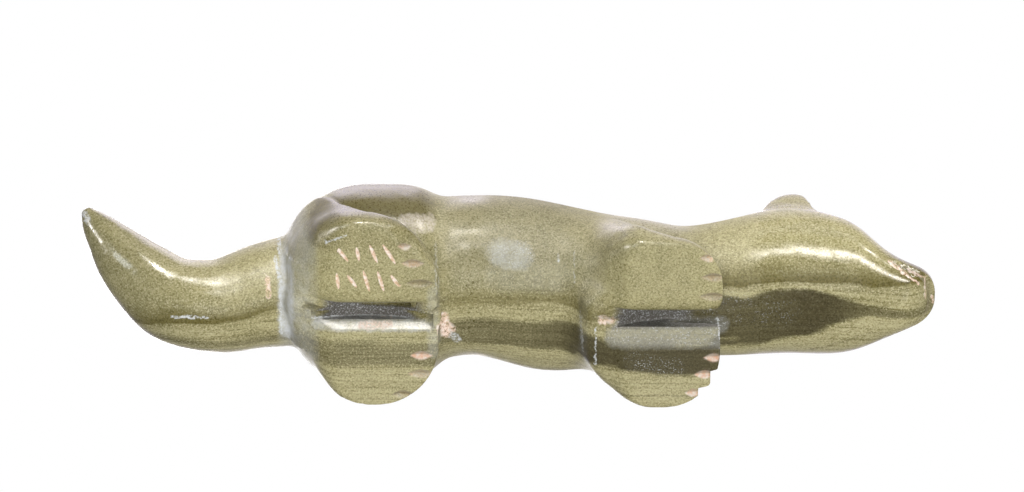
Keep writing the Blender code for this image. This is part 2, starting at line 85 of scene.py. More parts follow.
CHIN_SLOPE_HEIGHT = 2.4
LIP_THICKNESS = 0.6
LIP_FRONT = 6.7
LIP_BACK = 7.8
LIP_BACK_X = 48.5
MUZZLE_SOFT = 2.2
RUMP_X = -24.5
RUMP_SOFT = 3.0

# The tail's centre line, from inside the rump to its tip.
TAIL = (
    TailPoint(-25.5, 0.5, 13.4, 7.1),
    TailPoint(-27.5, 0.6, 12.6, 7),
    TailPoint(-32.6, 1.1, 10.8, 6.35),
    TailPoint(-35.9, 1.6, 9.6, 6),
    TailPoint(-38.9, 1.4, 9, 5.75),
    TailPoint(-42.5, 0.5, 9, 5.35),
    TailPoint(-45.3, -1.5, 9.6, 4.7),
    TailPoint(-48.2, -3.9, 10.8, 3.8),
    TailPoint(-50.6, -6.4, 12.2, 2.6),
    TailPoint(-52.1, -7.95, 13.1, 1.75),
    TailPoint(-53, -9.1, 13.6, 0.95),
)
TAIL_STEPS = 48
TAIL_END_X = -20.0

# Haunches: one egg across both, blunt in front where it stands off the flank.
HAUNCH_X = -16.8
HAUNCH_DRIFT = -0.15
HAUNCH_HEIGHT = 14.0
HAUNCH_AHEAD = 9.2
HAUNCH_BEHIND = 11.5
HAUNCH_HALF_WIDTH = 12.5
HAUNCH_HALF_HEIGHT = 11.2
HAUNCH_BLUNT_AHEAD = 4.0
HAUNCH_BLUNT_BEHIND = 2.5

# Shoulders, one on each side of the neck's root.
SHOULDER_X = 15.5
SHOULDER_SIDE = 4.3
SHOULDER_HEIGHT = 9.5
SHOULDER_RADII = (7.5, 4.3, 7.0)

# Feet as outlines on the ground. The two of a pair overlap in the middle, where a wheel cut parts them.
HIND_RIGHT = Foot(-27.4, -8.6, 1, -12.6, 9, 9)
HIND_LEFT = Foot(-27, -8.6, -1, 11.75, 10.4, 7.8)
FORE_RIGHT = Foot(12.9, 26.7, 1.5, -9.55, 4.4, 5.4)
FORE_LEFT = Foot(9.8, 26.45, -1.5, 12.1, 8.4, 7)
INNER_RADIUS = 1.0
SOLE_SOFT = 0.7
HIND_SIDE_SOFT = 5.5
FORE_SIDE_SOFT = 1.2
SIDE_SOFT_FROM = 4.0
SIDE_SOFT_WIDTH = 4.0
SOLE_EDGE = 0.45
HEEL_EDGE = 3.0
# The right hind sole's front corner is rubbed rounder than the other edges.
RUBBED = (-11.6, -10.8, 3.6)
RUBBED_EDGE = 2.4

# Hind legs: heights of leg and toes, where the ankle falls to the toes, and the round heels.
HIND_LEG_TOP = 12.5
HIND_TOE_TOP = 2.2
HIND_PAD_RISE = 0.12
HIND_TOP_SOFT = 0.8
HIND_ANKLE_X = -25.0
HIND_ANKLE_LENGTH = 8.0
HEEL_X = -18.5
HEEL_LENGTH = 7.5
HEEL_SOFT = 7.0

# Forelegs: the pads rise from the toes, and the ankle falls to them.
FORE_LEG_TOP = 9.0
FORE_TOE_TOP = 2.3
FORE_TOP_SOFT = 0.9
FORE_PAD_RISE = 0.16
FORE_ANKLE_X = 15.4
FORE_ANKLE_LENGTH = 5.5
FORE_HEEL_X = 17.5
FORE_HEEL_LENGTH = 5.0
FORE_HEEL_SOFT = 4.0
FORE_HEEL_LIFT = 1.2
# The right forefoot's side leans out up to a ridge, which falls towards the toes, and in above it.
FORE_LEAN_OUT = 0.45
FORE_LEAN_IN = 0.5
FORE_RIDGE_ROUND = 1.4
FORE_RIDGE_X = (13.6, 15.3, 17.9, 20.7, 24.7)
FORE_RIDGE_Z = (5.4, 4.3, 2.7, 1.5, 0.6)
# The outer toes of the left forefoot step back at these places across.
TOE_STEP_SIDES = (7.0, 9.2)
TOE_STEP_BACKS = (1.15, 1.5)
TOE_STEP_WIDTH = 0.35

# Wheel cuts between the feet, and the sawn bevel along the inner edge of each left sole.
WHEEL_RADIUS = 11.8
HIND_CUT = Cut(-17.4, 3, -1.1, 0.9, -24.4, -9.2, 1.3, 1.2)
FORE_CUT = Cut(21.8, 4.7, -0.1, 1.9, 12.3, 30, 1.4, 2.45)
CUT_EDGE = 0.15
CUT_RIM = 2.4

# Claw notches, a line a foot, with how much bare stone each shows.
CLAWS = (
    Claw(-12.6, -8.9, 1.8, 0.6), Claw(-11.7, -6.7, 2.7, 0.5), Claw(-10.8, -4.1, 3.5, 0.1),
    Claw(-10.7, 5.2, 2.6, 1), Claw(-10.7, 7.6, 3.3, 0.35), Claw(-13, 10.3, 2.6, 0.15),
    Claw(25, -7.4, 2.3, 0.6), Claw(25.6, -4.9, 3, 0.3), Claw(25.5, -2.4, 3.3, 0.25),
    Claw(25.7, 5.5, 2.4, 1), Claw(24.6, 7.7, 2.5, 1), Claw(23.2, 10.1, 2, 0.9),
)
CLAW_DEPTH = 0.5
CLAW_HALF_WIDTH = 0.48
CLAW_EDGE = 0.12

# Ears: a leaf of stone on each side of the skull, cut off steep in front.
EAR_X = 36.0
EAR_SIDE = 6.85
EAR_HEIGHT = 18.6
EAR_RADII = (3.9, 1.35, 6.8)
EAR_LEAN_OUT = 14
EAR_LEAN_AHEAD = 12
EAR_FRONT_X = 39.8
EAR_FRONT_TILT = 16
EAR_EDGE = 0.3
EAR_JOIN = 2.4

# Mouth: a groove round the muzzle at lip height, as wide as this many degrees to each side of the nose.
MOUTH_CENTRE_X = 50.6
MOUTH_REACH = 122
MOUTH_DEPTH = 0.65
MOUTH_HALF_WIDTH = 0.5
MOUTH_FADE = 20
# The muzzle's middle, where the two sides of the mouth meet.
MOUTH_DRIFT = TRUNK[-2].drift

# Eyes: drilled pits, this many degrees above the sides of the head.
EYE_X = 45.0
EYE_RADIUS = 0.95
EYE_ANGLE = 38
EYE_PROUD = 0.35
EYE_RAY_LENGTH = 12
EYE_RAY_STEPS = 1200

# Softness of the joins between the masses.
HAUNCH_JOIN = 1.6
HIND_JOIN = 1.6
HEEL_JOIN = 3.2
FORE_JOIN = 3.8
TOE_JOIN = 0.8
FORE_JOIN_X = 17.5
TAIL_JOIN = 1.0
SHOULDER_JOIN = 3.0
TOE_SPARE = 2.0
HEEL_SPARE = -0.9

# Two rows of shallow slanted strokes on the right hind sole: side, first and last place, and how many.
# Their length, lean and place sway a little from stroke to stroke.
STROKE_ROWS = ((-7.9, -20.4, -14.6, 4), (-4.4, -21.0, -13.9, 5))
STROKE_LENGTH = 2.5
STROKE_LEAN = 68
STROKE_SWAY = 16
STROKE_VARIETY = 0.25
STROKE_HALF_WIDTH = 0.27
STROKE_DEPTH = 0.16

# Stretches along X where each form matters, to save work elsewhere.
HAUNCH_SPAN = (TAIL[0].x - 6, -4)
SHOULDER_SPAN = (4, 27)
HIND_SPAN = (-30, -4)
FORE_SPAN = (7, 31)
EAR_SPAN = (30, 43)
FACE_SPAN = (42, math.inf)
TAIL_SPAN = (-math.inf, TAIL_END_X)
CUT_SPAN = 14
CLAW_SPAN = 3

# The mesh: spacing of its grid, the box that the grid fills, and how many points are worked at once.
STEP = 0.36
LOW = np.array((-54.6, -13.6, -0.7))
HIGH = np.array((54.6, 13.3, 26.5))
CHUNK = 12000
ROOT_ROUNDS = 3
# A corner moves onto a sharp edge, but is held a little to the middle of its cell.
CORNER_HOLD = 0.04
SETTLE_ROUNDS = 3
SETTLE_MOST = 0.12
# Where the mesh is made finer: round the claws, along the mouth, and on the sole with the strokes.
CLAW_FINE = (0.5, 0.9, 0.9)
MOUTH_FINE_X = 46
MOUTH_FINE_HEIGHT = 0.9
STROKE_FINE_X = (-23.4, -12.6)
STROKE_FINE_Y = (-10.4, -2.6)
SOLE_FLAT = 0.02
SHARP_ANGLE = 38


def spline(at, stations, values):
    """A natural cubic through the stations, held at its end values beyond them."""
    x = np.asarray(stations, float)
    y = np.asarray(values, float)
    step = np.diff(x)
    slope = np.diff(y) / step
    system = np.eye(len(x))
    load = np.zeros(len(x))
    for i in range(1, len(x) - 1):
        system[i, i - 1 : i + 2] = step[i - 1], 2 * (step[i - 1] + step[i]), step[i]
        load[i] = 6 * (slope[i] - slope[i - 1])
    bend = np.linalg.solve(system, load)
    at = np.clip(at, x[0], x[-1])
    i = np.clip(np.searchsorted(x, at) - 1, 0, len(x) - 2)
    left = at - x[i]
    right = x[i + 1] - at
    cubic = (bend[i] * right**3 + bend[i + 1] * left**3) / (6 * step[i])
    start = (y[i] / step[i] - bend[i] * step[i] / 6) * right
    end = (y[i + 1] / step[i] - bend[i + 1] * step[i] / 6) * left
    return cubic + start + end


def section_at(x):
    """Drift, height, half width and half height of the trunk at places along X."""
    table = np.array(TRUNK)
    return [spline(x, table[:, 0], table[:, k]) for k in (1, 2, 3, 4)]


def tail_line(count):
    """Points and radii along the tail, evenly spaced from the rump to the tip."""
    table = np.array(TAIL)
    gaps = np.linalg.norm(np.diff(table[:, :3], axis=0), axis=1)
    run = np.concatenate(([0.0], np.cumsum(gaps)))
    at = np.linspace(0, run[-1], count)
    return np.stack([spline(at, run, table[:, k]) for k in range(4)], 1)


TAIL_LINE = tail_line(TAIL_STEPS)


def smooth_step(share):
    share = np.clip(share, 0, 1)
    return share**2 * (3 - 2 * share)


def between(start, end, share):
    return start + (end - start) * share


def join(a, b, soft):
    """Both forms as one, with a fillet where they meet."""
    share = np.clip(0.5 + 0.5 * (b - a) / soft, 0, 1)
    return b * (1 - share) + a * share - soft * share * (1 - share)


def common(a, b, soft):
    """What lies inside both forms, with a soft edge."""
    return -join(-a, -b, soft)


def ellipsoid(p, centre, radii):
    local = (p - np.asarray(centre)) / np.asarray(radii)
    near = np.sqrt((local**2).sum(1))
    slope = np.sqrt(((local / np.asarray(radii)) ** 2).sum(1)) + 1e-9
    return near * (near - 1) / slope


def haunches(p):
    """An egg, each of whose ends has its own length and bluntness."""
    local = p - np.array((HAUNCH_X, HAUNCH_DRIFT, HAUNCH_HEIGHT))
    front = local[:, 0] > 0
    length = np.where(front, HAUNCH_AHEAD, HAUNCH_BEHIND)
    power = np.where(front, HAUNCH_BLUNT_AHEAD, HAUNCH_BLUNT_BEHIND)
    u = np.abs(local[:, 0]) / length
    v = np.abs(local[:, 1]) / HAUNCH_HALF_WIDTH
    w = np.abs(local[:, 2]) / HAUNCH_HALF_HEIGHT
    side = (v**ROUNDNESS + w**ROUNDNESS) ** (1 / ROUNDNESS) + 1e-9
    size = (u**power + side**power) ** (1 / power) + 1e-9
    along = (u / size) ** (power - 1) / length
    out = (side / size) ** (power - 1)
    across = out * (v / side) ** (ROUNDNESS - 1) / HAUNCH_HALF_WIDTH
    up = out * (w / side) ** (ROUNDNESS - 1) / HAUNCH_HALF_HEIGHT
    return (size - 1) / np.sqrt(along**2 + across**2 + up**2 + 1e-12)


def trunk(p):
    """Trunk, neck and head, without haunches, legs and ears."""
    x, y, z = p.T
    drift, height, half_width, half_height = section_at(x)
    v = np.abs(y - drift) / half_width
    w = np.abs(z - height) / half_height
    size = (v**ROUNDNESS + w**ROUNDNESS) ** (1 / ROUNDNESS) + 1e-9
    across = (v / size) ** (ROUNDNESS - 1) / half_width
    up = (w / size) ** (ROUNDNESS - 1) / half_height
    side = (size - 1) / np.sqrt(across**2 + up**2)
    below_lip = (LIP_FRONT + LIP_THICKNESS - z) / CHIN_SLOPE_HEIGHT
    front = x - NOSE_X + CHIN_SET_BACK * np.clip(below_lip, 0, 1)
    return common(common(side, front, MUZZLE_SOFT), RUMP_X - x, RUMP_SOFT)


def tail(p):
    nearest = np.full(len(p), 1e9)
    for start, end in zip(TAIL_LINE[:-1], TAIL_LINE[1:]):
        way = end[:3] - start[:3]
        share = np.clip((p - start[:3]) @ way / (way @ way), 0, 1)
        off = p - start[:3] - share[:, None] * way
        radius = start[3] + share * (end[3] - start[3])
        nearest = np.minimum(nearest, np.sqrt((off**2).sum(1)) - radius)
    return nearest


def outline(p, foot):
    """Distance outside a foot's outline, seen from below."""
    side = math.copysign(1, foot.outer)
    x = p[:, 0] - (foot.heel + foot.toe) / 2
    y = side * (p[:, 1] - (foot.inner + foot.outer) / 2)
    outer_radius = np.where(x > 0, foot.toe_radius, foot.heel_radius)
    radius = np.where(y > 0, outer_radius, INNER_RADIUS)
    dx = np.abs(x) - (foot.toe - foot.heel) / 2 + radius
    dy = np.abs(y) - abs(foot.outer - foot.inner) / 2 + radius
    beyond = np.hypot(np.maximum(dx, 0), np.maximum(dy, 0))
    return np.minimum(np.maximum(dx, dy), 0) + beyond - radius


def fore_outline(p, foot):
    """A forefoot's outline; the right one's side leans, and the outer toes of the left one step back."""
    if foot is FORE_RIGHT:
        ridge = np.interp(p[:, 0], FORE_RIDGE_X, FORE_RIDGE_Z)
        above = p[:, 2] - ridge
        turn = np.hypot(above, FORE_RIDGE_ROUND) * (FORE_LEAN_OUT + FORE_LEAN_IN) / 2
        leaning = p.copy()
        leaning[:, 1] += FORE_LEAN_OUT * ridge + above * (FORE_LEAN_OUT - FORE_LEAN_IN) / 2 - turn
        return outline(leaning, foot)
    plan = outline(p, foot)
    front = np.full(len(p), foot.toe)
    for side, back in zip(TOE_STEP_SIDES, TOE_STEP_BACKS):
        front = front - back * np.clip((p[:, 1] - side) / TOE_STEP_WIDTH, 0, 1)
    return np.maximum(plan, p[:, 0] - front)


def heel_share(x):
    """0 under the hind feet, 1 at their heels, where the soles round up to the tail."""
    return smooth_step((HEEL_X - x) / HEEL_LENGTH)


def side_soft(y, most):
    """The soles of the right feet round up to their outer sides."""
    return between(SOLE_SOFT, most, smooth_step((-y - SIDE_SOFT_FROM) / SIDE_SOFT_WIDTH))


def soft_heels(x):
    """1 at the heels of all feet, where the soles' edges are lost, 0 under the toes."""
    fore = smooth_step((FORE_HEEL_X - x) / FORE_HEEL_LENGTH) * (x > 0)
    return np.maximum(heel_share(x), fore)


def hind_foot(p, foot, floor):
    x, y, z = p.T
    leg = smooth_step((HIND_ANKLE_X + HIND_ANKLE_LENGTH - x) / HIND_ANKLE_LENGTH)
    pad = HIND_TOE_TOP + HIND_PAD_RISE * (foot.toe - x)
    top = between(pad, HIND_LEG_TOP, leg)
    soft = np.maximum(side_soft(y, HIND_SIDE_SOFT), between(SOLE_SOFT, HEEL_SOFT, heel_share(x)))
    return common(common(outline(p, foot), z - top, HIND_TOP_SOFT), floor, soft)


def fore_foot(p, foot, floor):
    x, y, z = p.T
    leg = smooth_step((FORE_ANKLE_X + FORE_ANKLE_LENGTH - x) / FORE_ANKLE_LENGTH)
    pad = FORE_TOE_TOP + FORE_PAD_RISE * (foot.toe - x)
    top = between(pad, FORE_LEG_TOP, leg)
    behind = smooth_step((FORE_HEEL_X - x) / FORE_HEEL_LENGTH)
    soft = np.maximum(side_soft(y, FORE_SIDE_SOFT), between(SOLE_SOFT, FORE_HEEL_SOFT, behind))
    raised = floor + FORE_HEEL_LIFT * behind
    return common(common(fore_outline(p, foot), z - top, FORE_TOP_SOFT), raised, soft)


def wheel_cut(p, cut):
    """The space that a wheel leaves between two feet."""
    x, y, z = p.T
    rim = np.hypot(x - cut.x, z - cut.depth + WHEEL_RADIUS) - WHEEL_RADIUS
    return np.maximum(rim, np.maximum(cut.right - y, y - cut.left))


def slot(p, cut):
    """A wheel's cut, with the bevel beside it."""
    x, y, z = p.T
    lean = math.hypot(1 / cut.bevel_width, 1 / cut.bevel_height)
    plane = ((y - cut.left) / cut.bevel_width + z / cut.bevel_height - 1) / lean
    ends = np.maximum(cut.bevel_start - x, x - cut.bevel_end)
    inner = (cut.right + cut.left) / 2 - y
    return np.minimum(wheel_cut(p, cut), np.maximum(np.maximum(plane, ends), inner))


def claw(p, notch):
    """A notch from a small V-edged wheel."""
    x, y, z = p.T
    radius = notch.length**2 / (8 * CLAW_DEPTH) + CLAW_DEPTH / 2
    slope = CLAW_DEPTH / CLAW_HALF_WIDTH
    rim = np.hypot(x - notch.x, z - CLAW_DEPTH + radius) - radius
    return (rim + slope * np.abs(y - notch.y)) / math.hypot(1, slope)


def ear_axes(side):
    out, ahead = math.radians(EAR_LEAN_OUT), math.radians(EAR_LEAN_AHEAD)
    up = np.array((math.sin(ahead), side * math.sin(out), math.cos(out) * math.cos(ahead)))
    up /= np.linalg.norm(up)
    fore = np.array((1.0, 0.0, 0.0)) - up * up[0]
    fore /= np.linalg.norm(fore)
    return np.stack([fore, np.cross(up, fore), up])


def ear(p, side):
    local = (p - np.array((EAR_X, side * EAR_SIDE, EAR_HEIGHT))) @ ear_axes(side).T
    tilt = math.radians(EAR_FRONT_TILT)
    front = p[:, 0] - EAR_FRONT_X + math.tan(tilt) * (p[:, 2] - EAR_HEIGHT)
    return common(ellipsoid(local, (0, 0, 0), EAR_RADII), front * math.cos(tilt), EAR_EDGE)


def lip_height(x):
    """The mouth's line falls towards the nose."""
    return np.interp(x, (LIP_BACK_X, NOSE_X - CHIN_SET_BACK), (LIP_BACK, LIP_FRONT))


def mouth(p):
    """How deep the mouth's groove is, 1 along its middle."""
    x, y, z = p.T
    turn = np.degrees(np.arctan2(np.abs(y - MOUTH_DRIFT), x - MOUTH_CENTRE_X))
    fade = smooth_step((MOUTH_REACH - turn) / MOUTH_FADE)
    return fade * np.clip(1 - np.abs(z - lip_height(x)) / MOUTH_HALF_WIDTH, 0, 1)


def eye_centres():
    drift, height, _, _ = section_at(EYE_X)
    middle = np.array((EYE_X, drift, height))
    along = np.linspace(0, EYE_RAY_LENGTH, EYE_RAY_STEPS)
    centres = []
    for angle in (EYE_ANGLE, 180 - EYE_ANGLE):
        turn = math.radians(angle)
        way = np.array((0.0, math.cos(turn), math.sin(turn)))
        reach = along[np.argmax(trunk(middle + along[:, None] * way) > 0)]
        centres.append(middle + (reach + EYE_PROUD * EYE_RADIUS) * way)
    return centres


EYES = eye_centres()


def strokes(p):
    """How deep the slanted strokes are, 1 along their middle."""
    deep = np.zeros(len(p))
    for side, start, end, count in STROKE_ROWS:
        for i, x in enumerate(np.linspace(start, end, count)):
            lean = math.radians(STROKE_LEAN + STROKE_SWAY * math.sin(2.4 * i + side))
            way = np.array((math.cos(lean), math.sin(lean)))
            length = STROKE_LENGTH * (1 + STROKE_VARIETY * math.sin(1.7 * i + 2 * side))
            off = p[:, :2] - np.array((x, side + STROKE_VARIETY * math.sin(3.1 * i)))
            along = np.abs(off @ way) / (length / 2)
            across = np.abs(off[:, 0] * way[1] - off[:, 1] * way[0]) / STROKE_HALF_WIDTH
            taper = np.sqrt(np.clip(1 - along**2, 0, 1))
            deep = np.maximum(deep, np.clip(taper - across, 0, 1))
    return deep


def within(x, span):
    """Whether any of the places lies in a stretch."""
    return x.max() > span[0] and x.min() < span[1]


def form(p):
    """Distance outside the carving."""
    x, y, z = p.T
    shape = trunk(p)
    if within(x, HAUNCH_SPAN):
        shape = join(shape, haunches(p), HAUNCH_JOIN)
    if within(x, SHOULDER_SPAN):
        for side in (-1, 1):
            centre = (SHOULDER_X, side * SHOULDER_SIDE, SHOULDER_HEIGHT)
            shape = join(shape, ellipsoid(p, centre, SHOULDER_RADII), SHOULDER_JOIN)
    heel = heel_share(x)
    floor = -z - TOE_SPARE * (1 - heel) - HEEL_SPARE * heel
    if within(x, HIND_SPAN):
        for foot in (HIND_RIGHT, HIND_LEFT):
            shape = join(shape, hind_foot(p, foot, floor), between(HIND_JOIN, HEEL_JOIN, heel))
    if within(x, FORE_SPAN):
        soft = between(TOE_JOIN, FORE_JOIN, smooth_step((FORE_JOIN_X - x) / FORE_ANKLE_LENGTH))
        for foot in (FORE_RIGHT, FORE_LEFT):
            shape = join(shape, fore_foot(p, foot, floor), soft)
    if within(x, TAIL_SPAN):
        shape = join(shape, tail(p), TAIL_JOIN)
    if within(x, EAR_SPAN):
        for side in (-1, 1):
            shape = join(shape, ear(p, side), EAR_JOIN)
    if within(x, FACE_SPAN):
        shape = shape + MOUTH_DEPTH * mouth(p)
        for eye in EYES:
            shape = common(shape, EYE_RADIUS - np.linalg.norm(p - eye, axis=1), CUT_EDGE)
    rubbed = 1 - np.hypot(x - RUBBED[0], y - RUBBED[1]) / RUBBED[2]
    edge = between(SOLE_EDGE, RUBBED_EDGE, smooth_step(rubbed))
    edge = np.maximum(edge, between(SOLE_EDGE, HEEL_EDGE, soft_heels(x)))
    shape = common(shape, -z, edge)
    for cut in (HIND_CUT, FORE_CUT):
        if within(x, (cut.x - CUT_SPAN, cut.x + CUT_SPAN)):
            rim = smooth_step((cut.right + cut.left) - 2 * y)
            shape = common(shape, -slot(p, cut), between(CUT_EDGE, CUT_RIM, rim))
    for notch in CLAWS:
        if within(x, (notch.x - CLAW_SPAN, notch.x + CLAW_SPAN)):
            shape = common(shape, -claw(p, notch), CLAW_EDGE)
    return shape


def in_chunks(points, work):
    """The work done on a few points at a time, which lie close together."""
    order = np.argsort(points[:, 0], kind="stable")
    made = [work(points[order[i : i + CHUNK]]) for i in range(0, len(points), CHUNK)]
    result = np.empty_like(np.concatenate(made))
    result[order] = np.concatenate(made)
    return result


def gradient(points, reach=0.02):
    """The form's slope at points."""
    slope = []
    for axis in range(3):
        aside = np.zeros(3)
        aside[axis] = reach
        ahead = in_chunks(points + aside, form)
        behind = in_chunks(points - aside, form)
        slope.append((ahead - behind) / (2 * reach))
    return np.stack(slope, 1)


def grid_values():
    """The grid's places along each axis, and the form's values on it."""
    axes = [np.arange(LOW[k], HIGH[k] + STEP, STEP) for k in range(3)]
    y, z = np.meshgrid(axes[1], axes[2], indexing="ij")
    values = np.empty([len(axis) for axis in axes])
    for i, x in enumerate(axes[0]):
        values[i] = form(np.stack([np.full(y.size, x), y.ravel(), z.ravel()], 1)).reshape(y.shape)
    return axes, values


def crossings(axes, values, axis):
    """Grid edges along an axis that the skin crosses: lower corners, points, and whether they leave it."""
    lower = [slice(None)] * 3
    upper = [slice(None)] * 3
    lower[axis] = slice(0, -1)
    upper[axis] = slice(1, None)
    a = values[tuple(lower)]
    b = values[tuple(upper)]
    corner = np.argwhere((a < 0) != (b < 0))
    start = np.stack([axes[k][corner[:, k]] for k in range(3)], 1)
    low = a[tuple(corner.T)]
    high = b[tuple(corner.T)]
    leaves = low < 0
    near = np.zeros(len(corner))
    far = np.ones(len(corner))
    for _ in range(ROOT_ROUNDS):
        share = between(near, far, np.clip(low / (low - high), 0.02, 0.98))
        point = start.copy()
        point[:, axis] += share * STEP
        here = in_chunks(point, form)
        same = (here < 0) == (low < 0)
        near = np.where(same, share, near)
        low = np.where(same, here, low)
        far = np.where(same, far, share)
        high = np.where(same, high, here)
    share = between(near, far, np.clip(low / (low - high), 0, 1))
    point = start
    point[:, axis] += share * STEP
    return corner, point, leaves


def skin():
    """Corners and quads of the carving's skin, with a corner placed on each sharp edge it passes."""
    axes, values = grid_values()
    cells = np.array(values.shape) - 1
    found = [crossings(axes, values, axis) for axis in range(3)]
    points = np.concatenate([f[1] for f in found])
    normals = gradient(points)
    normals /= np.linalg.norm(normals, axis=1)[:, None] + 1e-12
    keys, rows, quads = [], [], []
    first = 0
    for axis, (corner, _, leaves) in enumerate(found):
        beside = (axis + 1) % 3
        beyond = (axis + 2) % 3
        ring = []
        for d1, d2 in ((-1, -1), (0, -1), (0, 0), (-1, 0)):
            cell = corner.copy()
            cell[:, beside] += d1
            cell[:, beyond] += d2
            ring.append(np.ravel_multi_index(tuple(cell.T), cells))
        ring = np.stack(ring, 1)
        keys.append(ring.T.ravel())
        rows.append(np.tile(np.arange(first, first + len(corner)), 4))
        quads.append(np.where(leaves[:, None], ring, ring[:, ::-1]))
        first += len(corner)
    keys = np.concatenate(keys)
    rows = np.concatenate(rows)
    cell, place = np.unique(keys, return_inverse=True)
    count = np.bincount(place)
    middle = np.stack([np.bincount(place, points[rows, k]) / count for k in range(3)], 1)
    normal = normals[rows]
    away = ((points[rows] - middle[place]) * normal).sum(1)
    system = np.empty((len(cell), 3, 3))
    for i in range(3):
        for k in range(3):
            system[:, i, k] = np.bincount(place, normal[:, i] * normal[:, k])
        system[:, i, i] += CORNER_HOLD * count
    pull = np.stack([np.bincount(place, normal[:, k] * away) for k in range(3)], 1)
    corners = middle + np.linalg.solve(system, pull[..., None])[..., 0]
    index = np.stack(np.unravel_index(cell, cells), 1)
    low = np.stack([axes[k][index[:, k]] for k in range(3)], 1)
    corners = np.clip(corners, low, low + STEP)
    corners[:, 2] = np.maximum(corners[:, 2], 0)
    return corners, np.searchsorted(cell, np.concatenate(quads))


def placed(name, data):
    """A new object in the scene."""
    made = bpy.data.objects.new(name, data)
    bpy.context.scene.collection.objects.link(made)
    return made


def mesh_object(name, corners, faces):
    mesh = bpy.data.meshes.new(name)
    mesh.vertices.add(len(corners))
    mesh.vertices.foreach_set("co", (corners * MM).ravel())
    mesh.loops.add(faces.size)
    mesh.loops.foreach_set("vertex_index", faces.ravel().astype(np.int32))
    mesh.polygons.add(len(faces))
    mesh.polygons.foreach_set("loop_start", np.arange(0, faces.size, 4, dtype=np.int32))
    mesh.update(calc_edges=True)
    return placed(name, mesh)


# The stone's layers lean this much with height, and outside the table they go on this wide.
LAYER_TILT = 0.25
LAYER_FADE = 4
# Above the forefeet, from this height and between these places, the layers are those of the neck ahead.
NECK_AHEAD = 5.0
NECK_LOW = 2.6
NECK_RISE = 1.2
NECK_SPAN = (19, 30)
NECK_FADE = 3
# Stone layers at places along X: the places, counted across the layers, where a soft shade starts, a thin
# dark line runs, a dark band starts and ends, and a second thin line runs; with how dark band and lines are.
LAYERS = (
    (-54, 3.6, 6.4, 9, 9.6, 11, 0.35, 0.8),
    (-48, 1.9, 4.8, 7, 7.6, 9.4, 0.35, 0.85),
    (-45, 0.8, 3.7, 5.4, 6.2, 8.4, 0.35, 0.9),
    (-42.5, 0, 2.9, 5.5, 6.4, 8.2, 0.4, 0.95),
    (-38, 0.3, 2.75, 5.9, 6.8, 8.4, 0.4, 1),
    (-33, 0.6, 2.6, 6.2, 7.1, 8.8, 0.4, 0.9),
    (-29, 0.2, 2.1, 6, 7.2, 9.2, 0.45, 0.8),
    (-26, -1.2, 1.4, 4.3, 6.8, 9.6, 0.55, 0.6),
    (-22, -1, 0.7, 4.1, 6.8, 10.5, 0.5, 0.35),
    (-9, -1.2, 0.7, 4, 6.9, 10.5, 0.52, 0.4),
    (-6, -2.2, 1.1, 3.8, 7.7, 10, 0.6, 0.6),
    (2, -2.4, 1.2, 3.7, 8, 10, 0.66, 0.7),
    (10, -2, 1.1, 3.6, 7.9, 10.5, 0.95, 0.8),
    (14, -1.4, 0.4, 4.3, 7.6, 10.5, 0.95, 0.4),
    (25, -1.4, 0.1, 4.3, 7.7, 10.5, 1, 0.5),
    (27.5, -3.2, -0.4, 1.6, 8.3, 11, 0.85, 1),
    (33.4, -4, -0.9, 0.3, 8, 11, 0.93, 1),
    (37.6, -3.9, -0.65, 0.3, 7, 10, 1, 1),
    (39.7, -3.7, -0.5, 0.65, 6.1, 9, 1, 1),
    (41.8, -3.5, -0.45, 1.3, 4.8, 8, 0.95, 1),
    (45.6, -3.2, -0.5, 2.2, 3.3, 6.5, 0.7, 1),
    (48.5, -3.4, -0.9, 2.4, 3.4, 6, 0.6, 1),
    (52, -4, -1.6, 2.4, 3.4, 6, 0.5, 1),
)

# Marks on the underside: start and end in X and Y, half width, and how strong.
SCUFFS = (
    (-41.8, 1.25, -37.5, 1.25, 0.2, 1),
    (-53.4, -9.2, -53.1, -9, 0.6, 0.9),
    (-28.9, -6.2, -28.5, -5.2, 0.3, 1),
    (-29.2, -5, -28.4, -2.6, 0.24, 1),
    (-28.4, -2.6, -28.5, 4.3, 0.2, 1),
    (-22.5, -9.2, -22.4, -9.2, 0.22, 1),
    (-22.5, -9.2, -19.8, -10.4, 0.12, 0.8),
    (-24.3, 0.75, -21, 0.75, 0.1, 0.8),
    (-9, -7.6, -8.7, -2.4, 0.14, 0.3),
    (11, 1.8, 11, 6.8, 0.12, 0.9),
    (9.1, 0.5, 9.4, 5.5, 0.16, 0.4),
    (8.4, -6.5, 8.4, -3, 0.1, 0.35),
    (6.35, -5.9, 6.35, -5.2, 0.18, 0.8),
    (26.3, 1.9, 26.4, 4.3, 0.12, 0.9),
    (-6.9, 4.5, -6.3, 5.2, 0.55, 0.9),
    (25.2, -0.5, 25.3, 0.9, 0.15, 0.9),
)
# Thin pale films of dust, which on the belly and at the heels are also painted reflections, and a dulled
# grey one.
HAZES_AND_SHEENS = (
    (-0.8, -6.1, 1.6, -5.6, 1.8, 0.4),
    (-1, -3.4, 6.5, -3.4, 2, 0.1),
    (-26.2, -8, -26.2, 7, 2.6, 0.3),
    (-27.6, -5.4, -27.6, 4, 1.2, 0.85),
    (-24, 1.5, -9.6, 1.5, 0.7, 0.5),
    (9.4, -1, 9.4, 5.5, 0.6, 0.06),
    (-9.2, -3, -9.2, 5, 0.8, 0.2),
)
FROSTS = (
    (13.4, 3.1, 26.6, 3, 1.35, 0.85),
)
